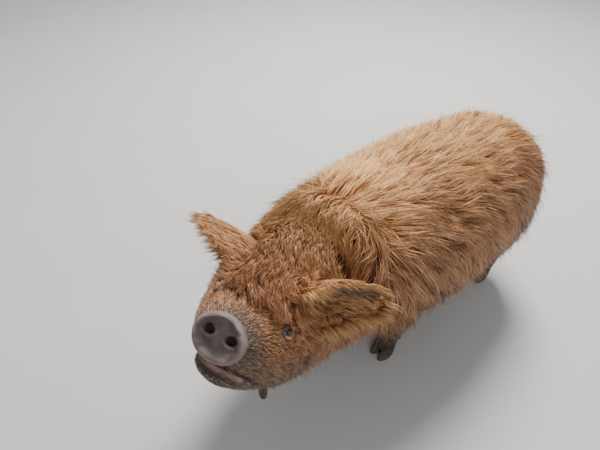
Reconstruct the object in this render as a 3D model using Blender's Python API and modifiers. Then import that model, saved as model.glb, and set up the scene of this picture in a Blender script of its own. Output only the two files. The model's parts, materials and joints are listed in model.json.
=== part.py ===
"""Kunekune pig, life-size, standing with its snout raised and its head turned to its left.

The pig faces -Y and stands on Z = 0, so its left side is +X. Its rump, trunk, neck and head are one
loft along a spine line, parted by thin flat cuts. The legs, ears, tail and the rest grow from it.
"""

import math
import random

import bmesh
import bpy
from mathutils import Matrix, Vector
from mathutils.bvhtree import BVHTree

GAP = 0.0003
WELD = 0.000004

# The spine line, measured in metres from the hindmost point of the rump
RUMP_Y = 0.455
SPINE_Z = 0.310
SHOULDER_AT = 0.650
NECK_LENGTH = 0.140
OCCIPUT_AT = SHOULDER_AT + NECK_LENGTH
SNOUT_AT = OCCIPUT_AT + 0.260
RUMP_ROUND = 0.130
OCCIPUT = Vector((0.024, -0.331, 0.329))
HEAD_YAW = math.radians(30)
HEAD_PITCH = math.radians(36)
HEAD_ROLL = math.radians(12)
SNOUT_TILT = math.radians(12)

# Trunk, neck and head: place on the line, level of the widest part, half width, rise, drop
BODY_STATIONS = (
    (0.000, 0.016, 0.148, 0.140, 0.146),
    (0.130, 0.006, 0.156, 0.152, 0.156),
    (0.205, -0.002, 0.170, 0.168, 0.168),
    (0.320, -0.012, 0.185, 0.184, 0.182),
    (0.440, -0.014, 0.186, 0.186, 0.180),
    (0.540, -0.006, 0.174, 0.174, 0.168),
    (0.620, 0.000, 0.158, 0.158, 0.156),
    (0.680, 0.000, 0.145, 0.160, 0.150),
    (0.740, -0.004, 0.131, 0.172, 0.144),
    (0.790, -0.018, 0.116, 0.166, 0.132),
    (0.825, -0.026, 0.110, 0.154, 0.126),
    (0.870, -0.032, 0.107, 0.135, 0.114),
    (0.910, -0.036, 0.102, 0.115, 0.100),
    (0.945, -0.034, 0.090, 0.090, 0.080),
    (0.975, -0.026, 0.075, 0.067, 0.060),
    (1.003, -0.016, 0.058, 0.047, 0.045),
    (1.028, -0.005, 0.046, 0.035, 0.035),
    (1.050, 0.003, 0.0385, 0.030, 0.030),
)
# Lower jaw: distance ahead of the occiput, level, half width, rise, drop
JAW_STATIONS = (
    (0.060, -0.100, 0.066, 0.030, 0.044),
    (0.125, -0.096, 0.063, 0.028, 0.042),
    (0.170, -0.087, 0.053, 0.022, 0.032),
    (0.196, -0.077, 0.044, 0.016, 0.026),
    (0.226, -0.066, 0.033, 0.011, 0.020),
)
JAW_ROUND = 0.022

# Depth of the standing coat over the skin, and the share of it that is solid
BACK_COAT = 0.030
BELLY_COAT = 0.024
FACE_COAT = 0.007
MUZZLE_COAT = 0.003
CORE_SHARE = 0.5

# Legs: height, place along the trunk, distance from the middle, radius across, radius along
FRONT_LEG = (
    (0.270, -0.080, 0.100, 0.052, 0.078),
    (0.210, -0.076, 0.108, 0.050, 0.069),
    (0.160, -0.072, 0.112, 0.042, 0.050),
    (0.115, -0.072, 0.114, 0.032, 0.035),
    (0.075, -0.072, 0.115, 0.0255, 0.0265),
    (0.052, -0.075, 0.116, 0.0260, 0.0275),
    (0.0338, -0.080, 0.116, 0.0245, 0.0235),
)
HIND_LEG = (
    (0.290, 0.310, 0.098, 0.062, 0.104),
    (0.230, 0.320, 0.106, 0.058, 0.086),
    (0.180, 0.338, 0.110, 0.045, 0.058),
    (0.135, 0.360, 0.110, 0.032, 0.039),
    (0.085, 0.354, 0.110, 0.0255, 0.0275),
    (0.054, 0.344, 0.110, 0.0260, 0.0285),
    (0.0338, 0.336, 0.110, 0.0245, 0.0235),
)
LEG_COAT = (0.018, 0.006)
TOE_HEIGHT = 0.0335
TOE_APART = 0.0135
TOE_SOLE = (0.0128, 0.027)
TOE_CROWN = (0.0122, 0.0205)
TOE_SLOPE = 0.009
DEWCLAW_HEIGHT = 0.052
DEWCLAW_APART = 0.014
DEWCLAW_LENGTH = 0.020
DEWCLAW_TIP = (0.0045, 0.0045)
DEWCLAW_ROOT = (0.0070, 0.0070)
FRONT_LEG_BACK = 0.031
HIND_LEG_BACK = 0.035

# Face
DISC_THICK = 0.013
DISC_RIM = 0.0025
NOSTRIL_APART = 0.0190
NOSTRIL_UP = 0.003
NOSTRIL_RADIUS = 0.0058
NOSTRIL_DEPTH = 0.010
EYE_RADIUS = 0.0115
EYE_AT = OCCIPUT_AT + 0.168
EYE_ANGLE = math.radians(52)
EYE_SUNK = 0.0050
LID_THICK = 0.0022
LID_SLIT = (0.0092, 0.0046)

# Ears: the root's distance ahead of the occiput and its angle from the top of the head, the way
# the ear points and the way its cup opens, both in the head's own left, back and up, and how far
# it droops or rises towards the tip
EAR_LENGTH = 0.122
EAR_HALF_WIDTH = 0.050
EAR_THICK = 0.006
EAR_SUNK = 0.024
EAR_CURL = (math.radians(105), math.radians(38))
EARS = {
    "left": (0.080, 40, Vector((0.84, -0.12, 0.50)), Vector((0.10, -0.80, -0.55)), -0.06),
    "right": (0.062, -37, Vector((-0.98, 0.02, 0.12)), Vector((0.00, 0.05, -0.95)), -0.08),
}

TAIL = (
    Vector((0.000, 0.420, 0.392)),
    Vector((0.000, 0.474, 0.400)),
    Vector((0.004, 0.495, 0.372)),
    Vector((0.010, 0.498, 0.335)),
    Vector((0.014, 0.493, 0.295)),
    Vector((0.009, 0.489, 0.256)),
)
TAIL_RADIUS = (0.017, 0.006)
TASSEL_AT = OCCIPUT_AT + 0.045
TASSEL_ANGLE = math.radians(158)
TASSEL_LENGTH = 0.048
TASSEL_RADII = (0.0070, 0.0072, 0.0085, 0.0095, 0.0060)

# Locks of the coat: how far apart the roots are, and each lock's length, width and thickness
TORSO_LOCKS = (0.0615, 0.155, 0.050, 0.0055)
NECK_LOCKS = (0.062, 0.120, 0.050, 0.0055)
CHEEK_LOCKS = (0.051, 0.092, 0.042, 0.0050)
BROW_LOCKS = (0.033, 0.072, 0.030, 0.0045)
LEG_LOCKS = (0.043, 0.066, 0.034, 0.0045)
EAR_LOCKS = (0.020, 0.046, 0.034, 0.0034)
TAIL_LOCKS = (0.012, 0.060, 0.018, 0.0045)
LOCK_SUNK = 0.008
LOCK_STEPS = 9
LOCK_SHAPE = ((0.00, 0.00, 0.60), (0.28, 0.30, 1.00), (0.62, 0.72, 0.74))
WHORL_AT = 0.014
BARE_BY_NECK = 0.050
SEED = 18

SEGMENTS = 26
COLOURS = {
    "coat": ((0.45, 0.20, 0.07), 0.85),
    "ear": ((0.58, 0.33, 0.13), 0.85),
    "disc": ((0.26, 0.20, 0.18), 0.55),
    "eye": ((0.03, 0.02, 0.015), 0.15),
    "claw": ((0.09, 0.07, 0.055), 0.60),
}


def mix(a, b, share):
    return a + (b - a) * share


def smoothstep(low, high, value):
    t = min(max((value - low) / (high - low), 0.0), 1.0)
    return t * t * (3 - 2 * t)


def stations_at(rows, place):
    """The sizes at one place, on a smooth curve through the rows."""
    place = min(max(place, rows[0][0]), rows[-1][0])
    i = max(k for k in range(len(rows) - 1) if rows[k][0] <= place)
    before, low, high, after = (rows[min(max(k, 0), len(rows) - 1)] for k in (i - 1, i, i + 1, i + 2))
    span = high[0] - low[0]
    t = (place - low[0]) / span
    sizes = []
    for a, b, c, d in zip(before[1:], low[1:], high[1:], after[1:]):
        slope_low = (c - a) / max(high[0] - before[0], 1e-6) * span
        slope_high = (d - b) / max(after[0] - low[0], 1e-6) * span
        sizes.append(
            b * (2 * t**3 - 3 * t**2 + 1)
            + slope_low * (t**3 - 2 * t**2 + t)
            + c * (3 * t**2 - 2 * t**3)
            + slope_high * (t**3 - t**2)
        )
    return sizes


HEAD_TURN = (
    Matrix.Rotation(HEAD_YAW, 3, "Z")
    @ Matrix.Rotation(-HEAD_PITCH, 3, "X")
    @ Matrix.Rotation(HEAD_ROLL, 3, "Y")
)
HEAD_FORWARD = HEAD_TURN @ Vector((0, -1, 0))
HEAD_LEFT = HEAD_TURN @ Vector((1, 0, 0))
HEAD_UP = HEAD_TURN @ Vector((0, 0, 1))


def spine_frame(place):
    """The spine's point there, and the 3x3 turn whose columns are left, back and up."""
    if place <= SHOULDER_AT:
        return Vector((0, RUMP_Y - place, SPINE_Z)), Matrix.Identity(3)
    if place >= OCCIPUT_AT:
        forward = place - OCCIPUT_AT
        tilt = SNOUT_TILT * smoothstep(0.150, 0.250, forward)
        return OCCIPUT + HEAD_FORWARD * forward, HEAD_TURN @ Matrix.Rotation(-tilt, 3, "X")
    t = (place - SHOULDER_AT) / NECK_LENGTH
    start, end = Vector((0, RUMP_Y - SHOULDER_AT, SPINE_Z)), OCCIPUT
    away, into = Vector((0, -NECK_LENGTH, 0)), HEAD_FORWARD * NECK_LENGTH
    point = (
        start * (2 * t**3 - 3 * t**2 + 1)
        + away * (t**3 - 2 * t**2 + t)
        + end * (3 * t**2 - 2 * t**3)
        + into * (t**3 - t**2)
    )
    turn = Matrix.Identity(3).to_quaternion().slerp(HEAD_TURN.to_quaternion(), smoothstep(0, 1, t))
    return point, turn.to_matrix()


def rounding(from_end, reach, power=2.3):
    """How far a blunt end has opened, from 0 at the very end to 1 at its reach."""
    if from_end >= reach:
        return 1.0
    return (1 - (1 - from_end / reach) ** power) ** (1 / power)


def coat_depth(place, angle):
    """How far the coat stands over the skin of the trunk, neck and head."""
    over_trunk = mix(BACK_COAT, BELLY_COAT, (1 - math.cos(angle)) / 2)
    ahead = place - OCCIPUT_AT
    over_head = mix(over_trunk, FACE_COAT, smoothstep(0.055, 0.145, ahead))
    return mix(over_head, MUZZLE_COAT, smoothstep(0.155, 0.215, ahead))


def body_point(place, angle, coat_share=0.0, lift=0.0):
    """A point on the trunk, neck or head. The angle runs from the top over the left side."""
    level, half_width, rise, drop = stations_at(BODY_STATIONS, place)
    centre, turn = spine_frame(place)
    close = rounding(place, RUMP_ROUND)
    height = rise if math.cos(angle) > 0 else drop
    out = coat_share * coat_depth(place, angle) * close + lift
    across = (half_width * close + out) * math.sin(angle)
    above = (height * close + out) * math.cos(angle) + level
    rump_lift = out * (1 - close)
    return centre + turn @ Vector((across, rump_lift, above))


def body_normal(place, angle):
    along = body_point(place + 0.004, angle) - body_point(place - 0.004, angle)
    round_it = body_point(place, angle + 0.02) - body_point(place, angle - 0.02)
    return along.cross(round_it).normalized()


def new_object(name, mesh, collection, look):
    made = bpy.data.objects.new(name, mesh)
    mesh.materials.append(material(look))
    collection.objects.link(made)
    return made


def material(look):
    """The Principled material for one kind of surface."""
    if look in bpy.data.materials:
        return bpy.data.materials[look]
    made = bpy.data.materials.new(look)
    made.use_nodes = True
    shader = made.node_tree.nodes["Principled BSDF"]
    colour, roughness = COLOURS[look]
    shader.inputs["Base Color"].default_value = (*colour, 1)
    shader.inputs["Roughness"].default_value = roughness
    shader.inputs["Metallic"].default_value = 0.0
    made.diffuse_color = (*colour, 1)
    return made


def outward(points, faces):
    """The faces of a closed shape, turned so that they face out."""
    volume = 0.0
    for face in faces:
        for k in range(1, len(face) - 1):
            volume += points[face[0]].cross(points[face[k]]).dot(points[face[k + 1]])
    return faces if volume > 0 else [tuple(reversed(face)) for face in faces]


def closed(rings):
    """The points and faces of a tube through rings of points, with a fan at each end."""
    count = len(rings[0])
    points = [point for ring in rings for point in ring]
    faces = []
    for i in range(len(rings) - 1):
        for k in range(count):
            n = (k + 1) % count
            faces.append((i * count + k, i * count + n, (i + 1) * count + n, (i + 1) * count + k))
    last = (len(rings) - 1) * count
    points.append(sum(rings[0], Vector()) / count)
    points.append(sum(rings[-1], Vector()) / count)
    for k in range(count):
        n = (k + 1) % count
        faces.append((n, k, len(points) - 2))
        faces.append((last + k, last + n, len(points) - 1))
    return points, outward(points, faces)


def mesh_object(name, points, faces, collection, look, smooth=True):
    mesh = bpy.data.meshes.new(name)
    flat = [(face[0], face[k], face[k + 1]) for face in faces for k in range(1, len(face) - 1)]
    mesh.from_pydata(points, [], flat)
    if smooth:
        mesh.shade_smooth()
    return new_object(name, mesh, collection, look)


def loft(name, rings, collection, look="coat"):
    """A closed tube through rings of points."""
    points, faces = closed(rings)
    return mesh_object(name, points, faces, collection, look)


def angles(count):
    return [2 * math.pi * k / count for k in range(count)]


def spaced(low, high, count):
    return [mix(low, high, k / (count - 1)) for k in range(count)]


def rounded_places(count, reach):
    """Places along a blunt end, closer together where it turns."""
    return [reach * (1 - math.cos(math.pi / 2 * k / count)) for k in range(count)]


def body_rings(places, lift=0.0, segments=SEGMENTS):
    return [[body_point(p, a, CORE_SHARE, lift) for a in angles(segments)] for p in places]


def body_length(name, places, lift, collection):
    """One length of the trunk, neck or head."""
    return loft(name, body_rings(places, lift), collection)


def ellipse_ring(centre, left, up, across, above, count):
    return [centre + left * (across * math.sin(a)) + up * (above * math.cos(a)) for a in angles(count)]


def combine(target, tools, operation, solver="MANIFOLD"):
    """One Boolean with every object in a collection, applied. The tools are then removed."""
    if not tools.objects:
        return
    modifier = target.modifiers.new("combine", "BOOLEAN")
    modifier.operation = operation
    modifier.operand_type = "COLLECTION"
    modifier.collection = tools
    modifier.solver = solver
    bpy.context.view_layer.update()
    graph = bpy.context.evaluated_depsgraph_get()
    made = bpy.data.meshes.new_from_object(target.evaluated_get(graph))
    target.modifiers.clear()
    target.data = made
    for tool in list(tools.objects):
        bpy.data.objects.remove(tool)


def keep_largest(target):
    """Closes hairline slits, then drops every closed surface but the largest, so the node is one body."""
    shape = bmesh.new()
    shape.from_mesh(target.data)
    bmesh.ops.remove_doubles(shape, verts=shape.verts, dist=WELD)
    bmesh.ops.dissolve_degenerate(shape, edges=shape.edges, dist=WELD)
    todo, best, best_size = set(shape.faces), set(), -1.0
    while todo:
        island, edge = set(), [todo.pop()]
        while edge:
            face = edge.pop()
            island.add(face)
            joined = [side.link_faces for side in face.edges if len(side.link_faces) == 2]
            near = {other for faces in joined for other in faces} & todo
            todo -= near
            edge.extend(near)
        size = sum(face.calc_area() for face in island)
        if size > best_size:
            best, best_size = island, size
    bmesh.ops.delete(shape, geom=[face for face in shape.faces if face not in best], context="FACES")
    shape.to_mesh(target.data)
    shape.free()


def jaw_rings(lift):
    """The lower jaw, as rings across the head."""
    first, last = JAW_STATIONS[0][0], JAW_STATIONS[-1][0]
    places = spaced(first, last - JAW_ROUND, 6) + [last - p for p in reversed(rounded_places(4, JAW_ROUND)[1:])]
    rings = []
    for place in places:
        level, half_width, rise, drop = stations_at(JAW_STATIONS, place)
        close = rounding(last - place + 0.001, JAW_ROUND)
        centre, turn = spine_frame(OCCIPUT_AT + place)
        out = lift + CORE_SHARE * coat_depth(OCCIPUT_AT + place, math.pi)
        ring = []
        for a in angles(16):
            height = rise if math.cos(a) > 0 else drop
            hang = out if math.cos(a) < 0 else 0.0
            across = (half_width * close + out * abs(math.sin(a))) * math.sin(a)
            above = (height * close + hang) * math.cos(a) + level
            ring.append(centre + turn @ Vector((across, 0, above)))
        rings.append(ring)
    return rings


def leg_rings(stations, side, lift, segments=14):
    rings = []
    top, bottom = stations[0][0], stations[-1][0]
    for height in spaced(top, bottom, 9):
        along, apart, across_radius, along_radius = stations_at([(-s[0], *s[1:]) for s in stations], -height)
        coat = mix(LEG_COAT[1], LEG_COAT[0], smoothstep(0.06, 0.20, height)) * CORE_SHARE + lift
        centre = Vector((side * apart, along, height))
        rings.append(
            ellipse_ring(centre, Vector((1, 0, 0)), Vector((0, 1, 0)), across_radius + coat, along_radius + coat, segments)
        )
    return rings


def eye_place(side):
    """The eyeball's centre and the way that it looks."""
    angle = side * EYE_ANGLE
    outward = body_normal(EYE_AT, angle)
    return body_point(EYE_AT, angle) - outward * EYE_SUNK, outward


def turned_to(direction, across):
    """A turn whose Z is the direction and whose X lies nearest to across."""
    z = direction.normalized()
    y = z.cross(across).normalized()
    return Matrix((y.cross(z), y, z)).transposed()


def ball(name, centre, turn, radii, collection, look, segments=16, rings=10):
    """An ellipsoid from a sphere primitive, placed by its location and rotation."""
    bpy.ops.mesh.primitive_uv_sphere_add(segments=segments, ring_count=rings, radius=1)
    made = bpy.context.object
    made.name = made.data.name = name
    for held in list(made.users_collection):
        held.objects.unlink(made)
    collection.objects.link(made)
    made.data.transform(Matrix.Diagonal((*radii, 1)))
    made.matrix_world = Matrix.Translation(centre) @ turn.to_4x4()
    made.data.materials.append(material(look))
    made.data.shade_smooth()
    return made


def cone(name, centre, turn, low, high, height, collection, look, segments=12):
    """A tapered prism with oval ends: low and high are each a radius across and one along."""
    shape = bmesh.new()
    bmesh.ops.create_cone(shape, cap_ends=True, segments=segments, radius1=1, radius2=1, depth=height)
    for vert in shape.verts:
        across, along = low if vert.co.z < 0 else high
        vert.co.x *= across
        vert.co.y *= along
    mesh = bpy.data.meshes.new(name)
    shape.to_mesh(mesh)
    shape.free()
    made = new_object(name, mesh, collection, look)
    made.matrix_world = Matrix.Translation(centre) @ turn.to_4x4()
    return made


def ear_frame(side):
    ahead, degrees, axis, opens, droop = EARS[side]
    length_way = (HEAD_TURN @ axis).normalized()
    facing = HEAD_TURN @ opens
    facing = (facing - length_way * facing.dot(length_way)).normalized()
    root = body_point(OCCIPUT_AT + ahead, math.radians(degrees)) - length_way * EAR_SUNK
    return root, length_way, facing, length_way.cross(facing), droop


def ear_point(side, along, across):
    """A point on the ear's outer face, from root to tip and from edge to edge."""
    root, length_way, facing, width_way, droop = ear_frame(side)
    half_width = EAR_HALF_WIDTH * (1 - along) ** 0.55 * (0.80 + 1.1 * along)
    curl = mix(*EAR_CURL, smoothstep(0, 0.75, along))
    radius = half_width / math.sin(min(curl, math.pi / 2))
    sideways = radius * math.sin(curl * across)
    forward = radius * (1 - math.cos(curl * across))
    length = (EAR_LENGTH + EAR_SUNK) * along
    bend = HEAD_UP * (droop * EAR_LENGTH * along * along)
    return root + length_way * length + width_way * sideways + facing * forward + bend


def ear(side, collection):
    """A cupped leaf with a thick root, open towards the face."""
    shape = bmesh.new()
    rows = []
    for i in range(8):
        along = 0.985 * math.sin(math.pi / 2 * i / 7)
        rows.append([shape.verts.new(ear_point(side, along, -1 + 2 * k / 6)) for k in range(7)])
    for low, high in zip(rows, rows[1:]):
        for k in range(6):
            shape.faces.new((low[k], low[k + 1], high[k + 1], high[k]))
    mesh = bpy.data.meshes.new("ear_" + side)
    shape.to_mesh(mesh)
    shape.free()
    made = new_object("ear_" + side, mesh, collection, "ear")
    thick = made.modifiers.new("thickness", "SOLIDIFY")
    thick.thickness = EAR_THICK
    thick.offset = 0
    return made


def tube(name, points, radii, segments, collection, look):
    """A round tube along a smooth line, closed at both ends."""
    count = 2 * (len(points) - 1) + 1
    rows = [(k, *p) for k, p in enumerate(points)]
    line = [Vector(stations_at(rows, (len(points) - 1) * k / (count - 1))) for k in range(count)]
    rings = []
    for k, point in enumerate(line):
        way = (line[min(k + 1, count - 1)] - line[max(k - 1, 0)]).normalized()
        left = Vector((1, 0, 0))
        up = left.cross(way).normalized()
        radius = mix(*radii, k / (count - 1))
        rings.append(ellipse_ring(point, way.cross(up) * -1, up, radius, radius, segments))
    return loft(name, rings, collection, look)


def baked(target):
    """Applies the object's modifiers."""
    bpy.context.view_layer.update()
    graph = bpy.context.evaluated_depsgraph_get()
    made = bpy.data.meshes.new_from_object(target.evaluated_get(graph))
    target.modifiers.clear()
    target.data = made


def trunk_places(more=0.0):
    return [0.0005] + rounded_places(5, RUMP_ROUND)[1:] + spaced(RUMP_ROUND, SHOULDER_AT - GAP / 2 + more, 8)


def head_places(more=0.0):
    return spaced(OCCIPUT_AT + GAP / 2 - more, OCCIPUT_AT + 0.08, 4)[:-1] + spaced(OCCIPUT_AT + 0.08, SNOUT_AT, 12)


def neck_places(more=0.0):
    return spaced(SHOULDER_AT + GAP / 2 - more, OCCIPUT_AT - GAP / 2 + more, 5)


class Ground:
    """The closed surfaces that locks grow from and lie along."""

    def __init__(self, shapes):
        points, faces = [], []
        for shape_points, shape_faces in shapes:
            faces.extend(tuple(i + len(points) for i in face) for face in shape_faces)
            points.extend(shape_points)
        self.tree = BVHTree.FromPolygons(points, faces)

    def nearest(self, point):
        found = self.tree.find_nearest(point)
        return found[0], found[1]

    def holds(self, point):
        on_it, normal = self.nearest(point)
        return (point - on_it).dot(normal) < 0


def trunk_lie(point, normal):
    """The way that hair lies on the trunk, neck and legs: back along the top, down the flanks."""
    side = 1 - max(normal.z, 0.0)
    under = smoothstep(0.3, 0.95, -normal.z)
    return Vector((0.35 * normal.x, mix(1.0, 0.55, side) + 0.4 * under, -mix(0.20, 0.95, side) * (1 - under)))


def head_axes(point):
    """How far a point is ahead of the occiput, to the left of the middle and above it."""
    from_occiput = point - OCCIPUT
    return from_occiput.dot(HEAD_FORWARD), from_occiput.dot(HEAD_LEFT), from_occiput.dot(HEAD_UP)


def lie(point, normal):
    """The way that hair lies. It parts at a whorl behind the ears and runs forward over the brow."""
    ahead, left, above = head_axes(point)
    if ahead < WHORL_AT:
        return trunk_lie(point, normal)
    brow = HEAD_FORWARD * 0.9 - HEAD_UP * 0.25 + HEAD_LEFT * (2.5 * left)
    cheek = Vector((0, 0, -0.9)) - HEAD_FORWARD * 0.55
    if above < 0:
        return cheek
    return brow.lerp(cheek, smoothstep(0.050, 0.085, abs(left)))


def trace(ground, root, length, turn, way_at):
    """A line over the surface from a root, along the lie, as points with their normals."""
    point, normal = ground.nearest(root)
    line = [(point, normal)]
    for k in range(LOCK_STEPS):
        way = way_at(point, normal)
        way = (way - normal * way.dot(normal)).normalized()
        way.rotate(Matrix.Rotation(turn * (0.4 + k / LOCK_STEPS), 3, normal))
        point, normal = ground.nearest(point + way * (length / LOCK_STEPS))
        line.append((point, normal))
    return line


def hull(points, collection):
    """The smallest shape without hollows round some points."""
    shape = bmesh.new()
    bmesh.ops.convex_hull(shape, input=[shape.verts.new(point) for point in points])
    bmesh.ops.delete(shape, geom=[v for v in shape.verts if not v.link_faces], context="VERTS")
    bmesh.ops.recalc_face_normals(shape, faces=shape.faces)
    mesh = bpy.data.meshes.new("room")
    shape.to_mesh(mesh)
    shape.free()
    return new_object("room", mesh, collection, "coat")


class Lock:
    """One flat, tapered lock along a line of points with normals."""

    def __init__(self, line, width, thick, tip_height, sunk=LOCK_SUNK):
        self.stations = []
        for t, rise, spread in LOCK_SHAPE:
            at = line[round(t * (len(line) - 1))]
            height = rise * tip_height if t else -sunk
            self.stations.append((at, height, spread * width, thick * (1 - 0.3 * t)))
        self.tip = line[-1][0] + line[-1][1] * tip_height
        self.line = line

    def add(self, collection, grow=0.0):
        """Its three-sided shape. Grown, it is the room that a neighbour leaves for it."""
        points = []
        centres = [at[0] + at[1] * height for at, height, width, thick in self.stations]
        for k, (at, height, width, thick) in enumerate(self.stations):
            ahead = centres[k + 1] if k < 2 else self.tip
            way = (ahead - centres[max(k - 1, 0)]).normalized()
            across = way.cross(at[1]).normalized()
            up = across.cross(way).normalized()
            low = centres[k] - up * (0.35 * thick + grow) - way * (grow if k == 0 else 0)
            points.append(low + across * (width / 2 + 8 * grow))
            points.append(low + up * (thick + 2 * grow) - way * (grow if k == 0 else 0))
            points.append(low - across * (width / 2 + 8 * grow))
        points.append(self.tip + (self.tip - centres[2]).normalized() * (8 * grow))
        if grow:
            for first, last in ((0, 6), (3, 9), (6, 10)):
                hull(points[first:last], collection)
            return
        faces = [(2, 1, 0), (6, 7, 9), (7, 8, 9), (8, 6, 9)]
        for i in (0, 3):
            for k in range(3):
                n = (k + 1) % 3
                faces.append((i + k, i + n, i + 3 + n))
                faces.append((i + k, i + 3 + n, i + 3 + k))
        mesh_object("lock", points, outward(points, faces), collection, "coat", False)


def scattered(draw, tries, pick, apart, taken):
    """Points from pick, kept apart from one another and from those already taken."""
    kept = []
    for _ in range(tries):
        point = pick(draw)
        if point is None:
            continue
        if all((point - other).length > apart for other in taken) and all(
            (point - other).length > apart for other in kept
        ):
            kept.append(point)
    return kept


def near_feature(line):
    """Whether a line comes too near an eye, a tassel or the root of an ear."""
    for side in (1, -1):
        centre = eye_place(side)[0]
        if any((point - centre).length < 0.025 for point, normal in line):
            return True
        for drop in (0.0, 0.5, 1.0):
            hang = body_point(TASSEL_AT, side * TASSEL_ANGLE, CORE_SHARE) - Vector((0, 0, TASSEL_LENGTH * drop))
            if any((point - hang).length < 0.036 for point, normal in line):
                return True
    for side in EARS:
        root, length_way = ear_frame(side)[:2]
        for step in (0.022, 0.036, 0.05):
            middle = root + length_way * step
            if any((point - middle).length < 0.027 for point, normal in line):
                return True
    return False


def folded(line, length):
    """Whether a line turns back on itself, as it does where hair from two sides meets."""
    steps = [(line[k + 1][0] - line[k][0]).normalized() for k in range(len(line) - 1)]
    bent = min(steps[k].dot(steps[k + 1]) for k in range(len(steps) - 1))
    return bent < 0.6 or (line[-1][0] - line[0][0]).length < 0.78 * length


def grown_locks(draw, ground, sizes, pick, tries, avoid=(), way_at=lie, height=None, reject=None):
    """Locks over a region: pick draws a root, or None where there is none."""
    apart, length, width, thick = sizes
    locks = []
    for root in scattered(draw, tries, pick, apart, avoid):
        long = length * draw.uniform(0.85, 1.15)
        line = trace(ground, root, long, draw.uniform(-0.45, 0.45), way_at)
        if folded(line, long) or (reject and reject(line)):
            continue
        tip = (height or 0.015) * draw.uniform(0.85, 1.35)
        locks.append(Lock(line, width * draw.uniform(0.85, 1.12), thick, tip))
    return locks


def body_pick(low, high, angle_low, angle_high, widest):
    """Draws a point of the core between two places and two angles, even over its surface."""

    def pick(draw):
        place = draw.uniform(low, high)
        angle = math.radians(draw.uniform(angle_low, angle_high)) * draw.choice((1, -1))
        girth = stations_at(BODY_STATIONS, place)[1] * rounding(place, RUMP_ROUND)
        if draw.random() > girth / widest:
            return None
        return body_point(place, angle, CORE_SHARE)

    return pick


def leg_pick(stations, side):
    def pick(draw):
        height = draw.uniform(0.105, 0.225)
        along, apart, across, length = stations_at([(-s[0], *s[1:]) for s in stations], -height)
        angle = draw.uniform(0, 2 * math.pi)
        if math.sin(angle) * side < -0.35:
            return None
        return Vector((side * apart + across * math.sin(angle), along + length * math.cos(angle), height))

    return pick


def ear_locks(draw, side):
    """The long fringe on the rim of one ear."""
    gap, length, width, thick = EAR_LOCKS
    root, length_way, facing, width_way, droop = ear_frame(side)
    locks = []
    for edge, first, count in ((1, 0.40, 4), (-1, 0.42, 3)):
        upper = (width_way * edge).dot(HEAD_UP) > 0
        for k in range(count):
            along = first + (0.97 - first) * k / (count - 1)
            inside = ear_point(side, along, 0.70 * edge)
            rim = ear_point(side, along, 1.0 * edge)
            out = (rim - inside).normalized()
            way = (length_way * mix(1.0, 1.2, along) + out * (0.95 - 0.6 * along)).normalized()
            long = length * draw.uniform(0.85, 1.15) * (1.0 if upper else 0.85)
            normal = length_way.cross(out).normalized()
            line = []
            for step in range(LOCK_STEPS + 1):
                t = step / LOCK_STEPS
                bend = Vector((0, 0, -0.22 if upper else -0.12)) * t * t
                line.append((inside + (way + bend) * (long * t), normal))
            locks.append(Lock(line, width * (1.1 - 0.3 * along), thick, 0.0, 0.0))
    return locks


def tail_locks(draw):
    """The tuft at the end of the tail."""
    gap, length, width, thick = TAIL_LOCKS
    end, before = TAIL[-1], TAIL[-2]
    way = (end - before).normalized()
    locks = []
    for k in range(6):
        round_it = 2.4 * k
        out = Vector((math.cos(round_it), math.sin(round_it), 0))
        start = end - way * (gap * 0.6 * (k + 0.6))
        long = length * draw.uniform(0.85, 1.15)
        line = []
        for step in range(LOCK_STEPS + 1):
            t = step / LOCK_STEPS
            line.append((start + way * (long * t) + out * (0.016 * math.sin(math.pi * 0.75 * t)), out))
        locks.append(Lock(line, width, thick, 0.0, 0.0))
    return locks


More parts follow.
